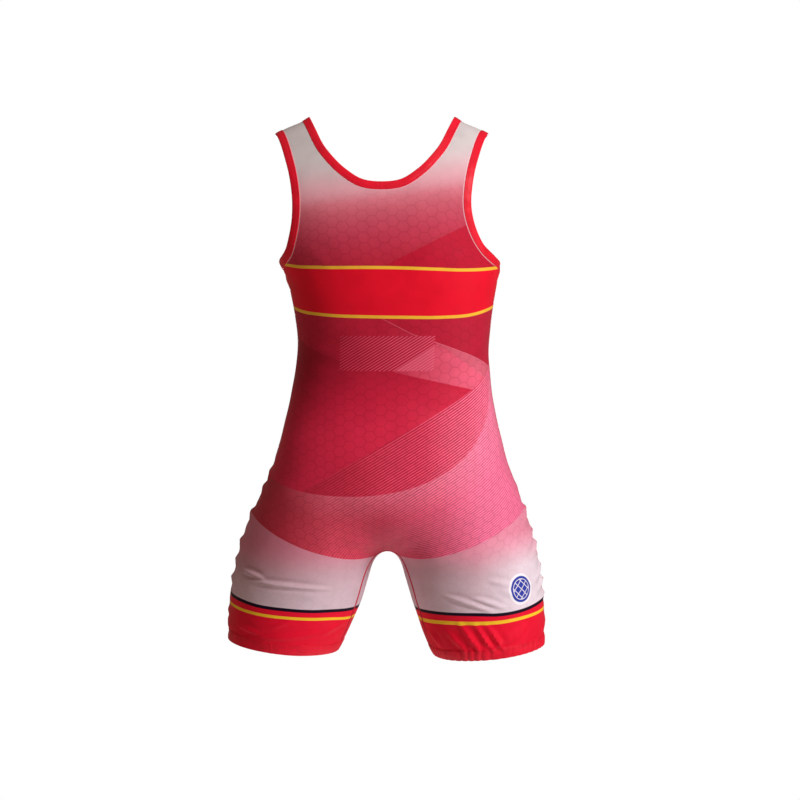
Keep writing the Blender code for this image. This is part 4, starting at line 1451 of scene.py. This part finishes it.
def hem(name, side, materials, thread):
    """An elastic hem band with its coverstitch rows, and the upright join of its elastic at the back."""
    turns = np.linspace(0.0, 2 * np.pi, HEM_STEPS, endpoint=False)
    foot = leg_ring(CLOTH_END - HEM_TALL, turns) * (side, 1, 1)
    top = leg_ring(CLOTH_END, turns) * (side, 1, 1)
    join = bell(turns - HEM_JOIN_AT, HEM_JOIN_WIDE) * (side > 0)

    def dents(share):
        ribs = np.sin(2 * np.pi * share * HEM_RIBS)
        rows = sum(bell(share - row, HEM_ROW_WIDE) for row in HEM_ROWS)
        return HEM_RIB_TALL * ribs[None] - ROW_DEEP * rows[None] + HEM_JOIN_TALL * join[:, None]

    piece = band(name, foot, top, HEM_THICK, dents, materials, "hem")
    for number, share in enumerate(HEM_ROWS):
        row = on_figure(foot * (1 - share) + top * share)
        stitches(f"{name}_stitches_{number + 1}", row, BAND_LIFT + HEM_THICK / 2 - STITCH_SUNK, thread)
    return piece


# The camera, its aim, and a lens for a 36 mm wide picture.
CAMERA_AT, CAMERA_AIM, CAMERA_LENS = (-0.0257, 3.5, 0.0), (-0.0257, 0.0, -0.3925), 109.3
# The floor is well below the garment, and glows a little so that it looks as white as the room.
FLOOR_LEVEL, FLOOR_SIZE, FLOOR_GLOW, FLOOR_INK = -2.20, 2.8, 0.40, "#F6F6F6"
# Soft boxes: place, aim, width and height, power, colour.
SOFT_BOXES = {
    "key": ((-1.72, 1.86, 0.85), (0.0, 0.0, -0.45), (0.8, 1.0), 57.0, "#FFFBFF"),
    "rim": ((-2.3, 0.9, -0.95), (-0.1, 0.0, -0.60), (0.8, 1.2), 11.0, "#FFFBFF"),
    "front": ((0.0, -3.2, -0.75), (0.0, 0.0, -0.4), (1.2, 1.2), 60.0, "#FFFFFF"),
    "top": ((-0.4, 0.6, 2.6), (0.0, 0.0, -0.4), (1.4, 1.4), 14.0, "#FFFFFF"),
}
# The room's light on the cloth, and the white that the camera sees behind it.
ROOM_LIGHT, ROOM_SEEN = "#7E6A60", "#FFFFFF"


def turn_to(thing, aim):
    """Turns a light or the camera to look at a place."""
    direction = np.array(aim) - thing.location
    thing.rotation_euler = Vector(direction).to_track_quat("-Z", "Y").to_euler()


def stage():
    """The pale floor, the soft light and the camera."""
    bpy.ops.object.select_all(action="DESELECT")
    bpy.ops.mesh.primitive_plane_add(size=FLOOR_SIZE, location=(0.0, 0.0, FLOOR_LEVEL))
    floor = bpy.context.object
    floor.name = "floor"
    paper, _, shader = new_material("pale paper floor")
    set_sockets(shader, {"Base Color": linear(FLOOR_INK), "Roughness": 0.9})
    set_sockets(shader, {"Emission Color": linear(ROOM_SEEN), "Emission Strength": FLOOR_GLOW})
    floor.data.materials.append(paper)

    scene = bpy.context.scene
    scene.world = bpy.data.worlds.new("soft white room")
    scene.world.use_nodes = True
    tree = scene.world.node_tree
    seen = add(tree, "LightPath", out="Is Camera Ray")
    room = mix(tree, seen, linear(ROOM_LIGHT), linear(ROOM_SEEN))
    tree.links.new(room, tree.nodes["Background"].inputs["Color"])
    scene.view_settings.view_transform = "Standard"

    for name, (place, aim, size, power, code) in SOFT_BOXES.items():
        light = bpy.data.lights.new(name, "AREA")
        light.shape = "RECTANGLE"
        light.size, light.size_y = size
        light.energy = power
        light.color = linear(code)[:3]
        box = bpy.data.objects.new(name, light)
        box.location = place
        scene.collection.objects.link(box)
        turn_to(box, aim)

    lens = bpy.data.cameras.new("camera")
    lens.lens = CAMERA_LENS
    camera = bpy.data.objects.new("camera", lens)
    camera.location = CAMERA_AT
    scene.collection.objects.link(camera)
    turn_to(camera, CAMERA_AIM)
    scene.camera = camera


def main():
    """Loads the part, sets the stage and makes every piece."""
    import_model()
    stage()

    printed = printed_knit()
    inside, edging, elastic, thread, hem_thread = [plain_cloth(*row) for row in PLAIN_CLOTHS]

    arm = Edge(ARMHOLE)
    neck = Edge(np.concatenate((NECKLINE, np.array(NECKLINE)[-2:0:-1] * (-1, 1, 1))))
    arm_back, arm_front = armhole_rows(arm)
    neck_back, neck_front = neckline_rows(neck)
    pieces = {}
    for name, arm_rows, neck_steps, neck_rows, is_back in (
        ("back_panel", arm_back, neck_back, BACK_NECK_ROWS, True),
        ("front_panel", arm_front, neck_front, FRONT_NECK_ROWS, False),
    ):
        arm_points, neck_points = at_steps(arm.cloth, arm_rows), at_steps(neck.cloth, neck_steps)
        fine = fine_grid(half_panel(arm_points, neck_points, neck_rows, is_back), neck_rows)
        pieces[name] = panel("printed_" + name, fine, neck_rows, is_back, (arm, neck), [printed, inside])
        if is_back:
            side_line = fine[STRAP_ROWS * FINER :, 0] - (0.0, SIDE_SEAM_FORWARD, 0.0)
            inseam_line = fine[(STRAP_ROWS + BODY_ROWS) * FINER :, -1]
    for name, line in (("side_seam", side_line), ("inseam", inseam_line)):
        for side_name, side in SIDES:
            seam(f"{name}_{side_name}", line * (side, 1, 1), thread)
    pieces["neck_binding"] = bound_edge("neck_folded_binding", neck, 1, [edging], thread)
    for name, side in SIDES:
        edge_name = f"armhole_folded_binding_{name}"
        pieces[f"armhole_binding_{name}"] = bound_edge(edge_name, arm, side, [edging], thread)
    for name, side in SIDES:
        pieces[f"hem_band_{name}"] = hem(f"elastic_hem_{name}", side, [elastic], hem_thread)
    for name, piece in pieces.items():
        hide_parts(name)


main()
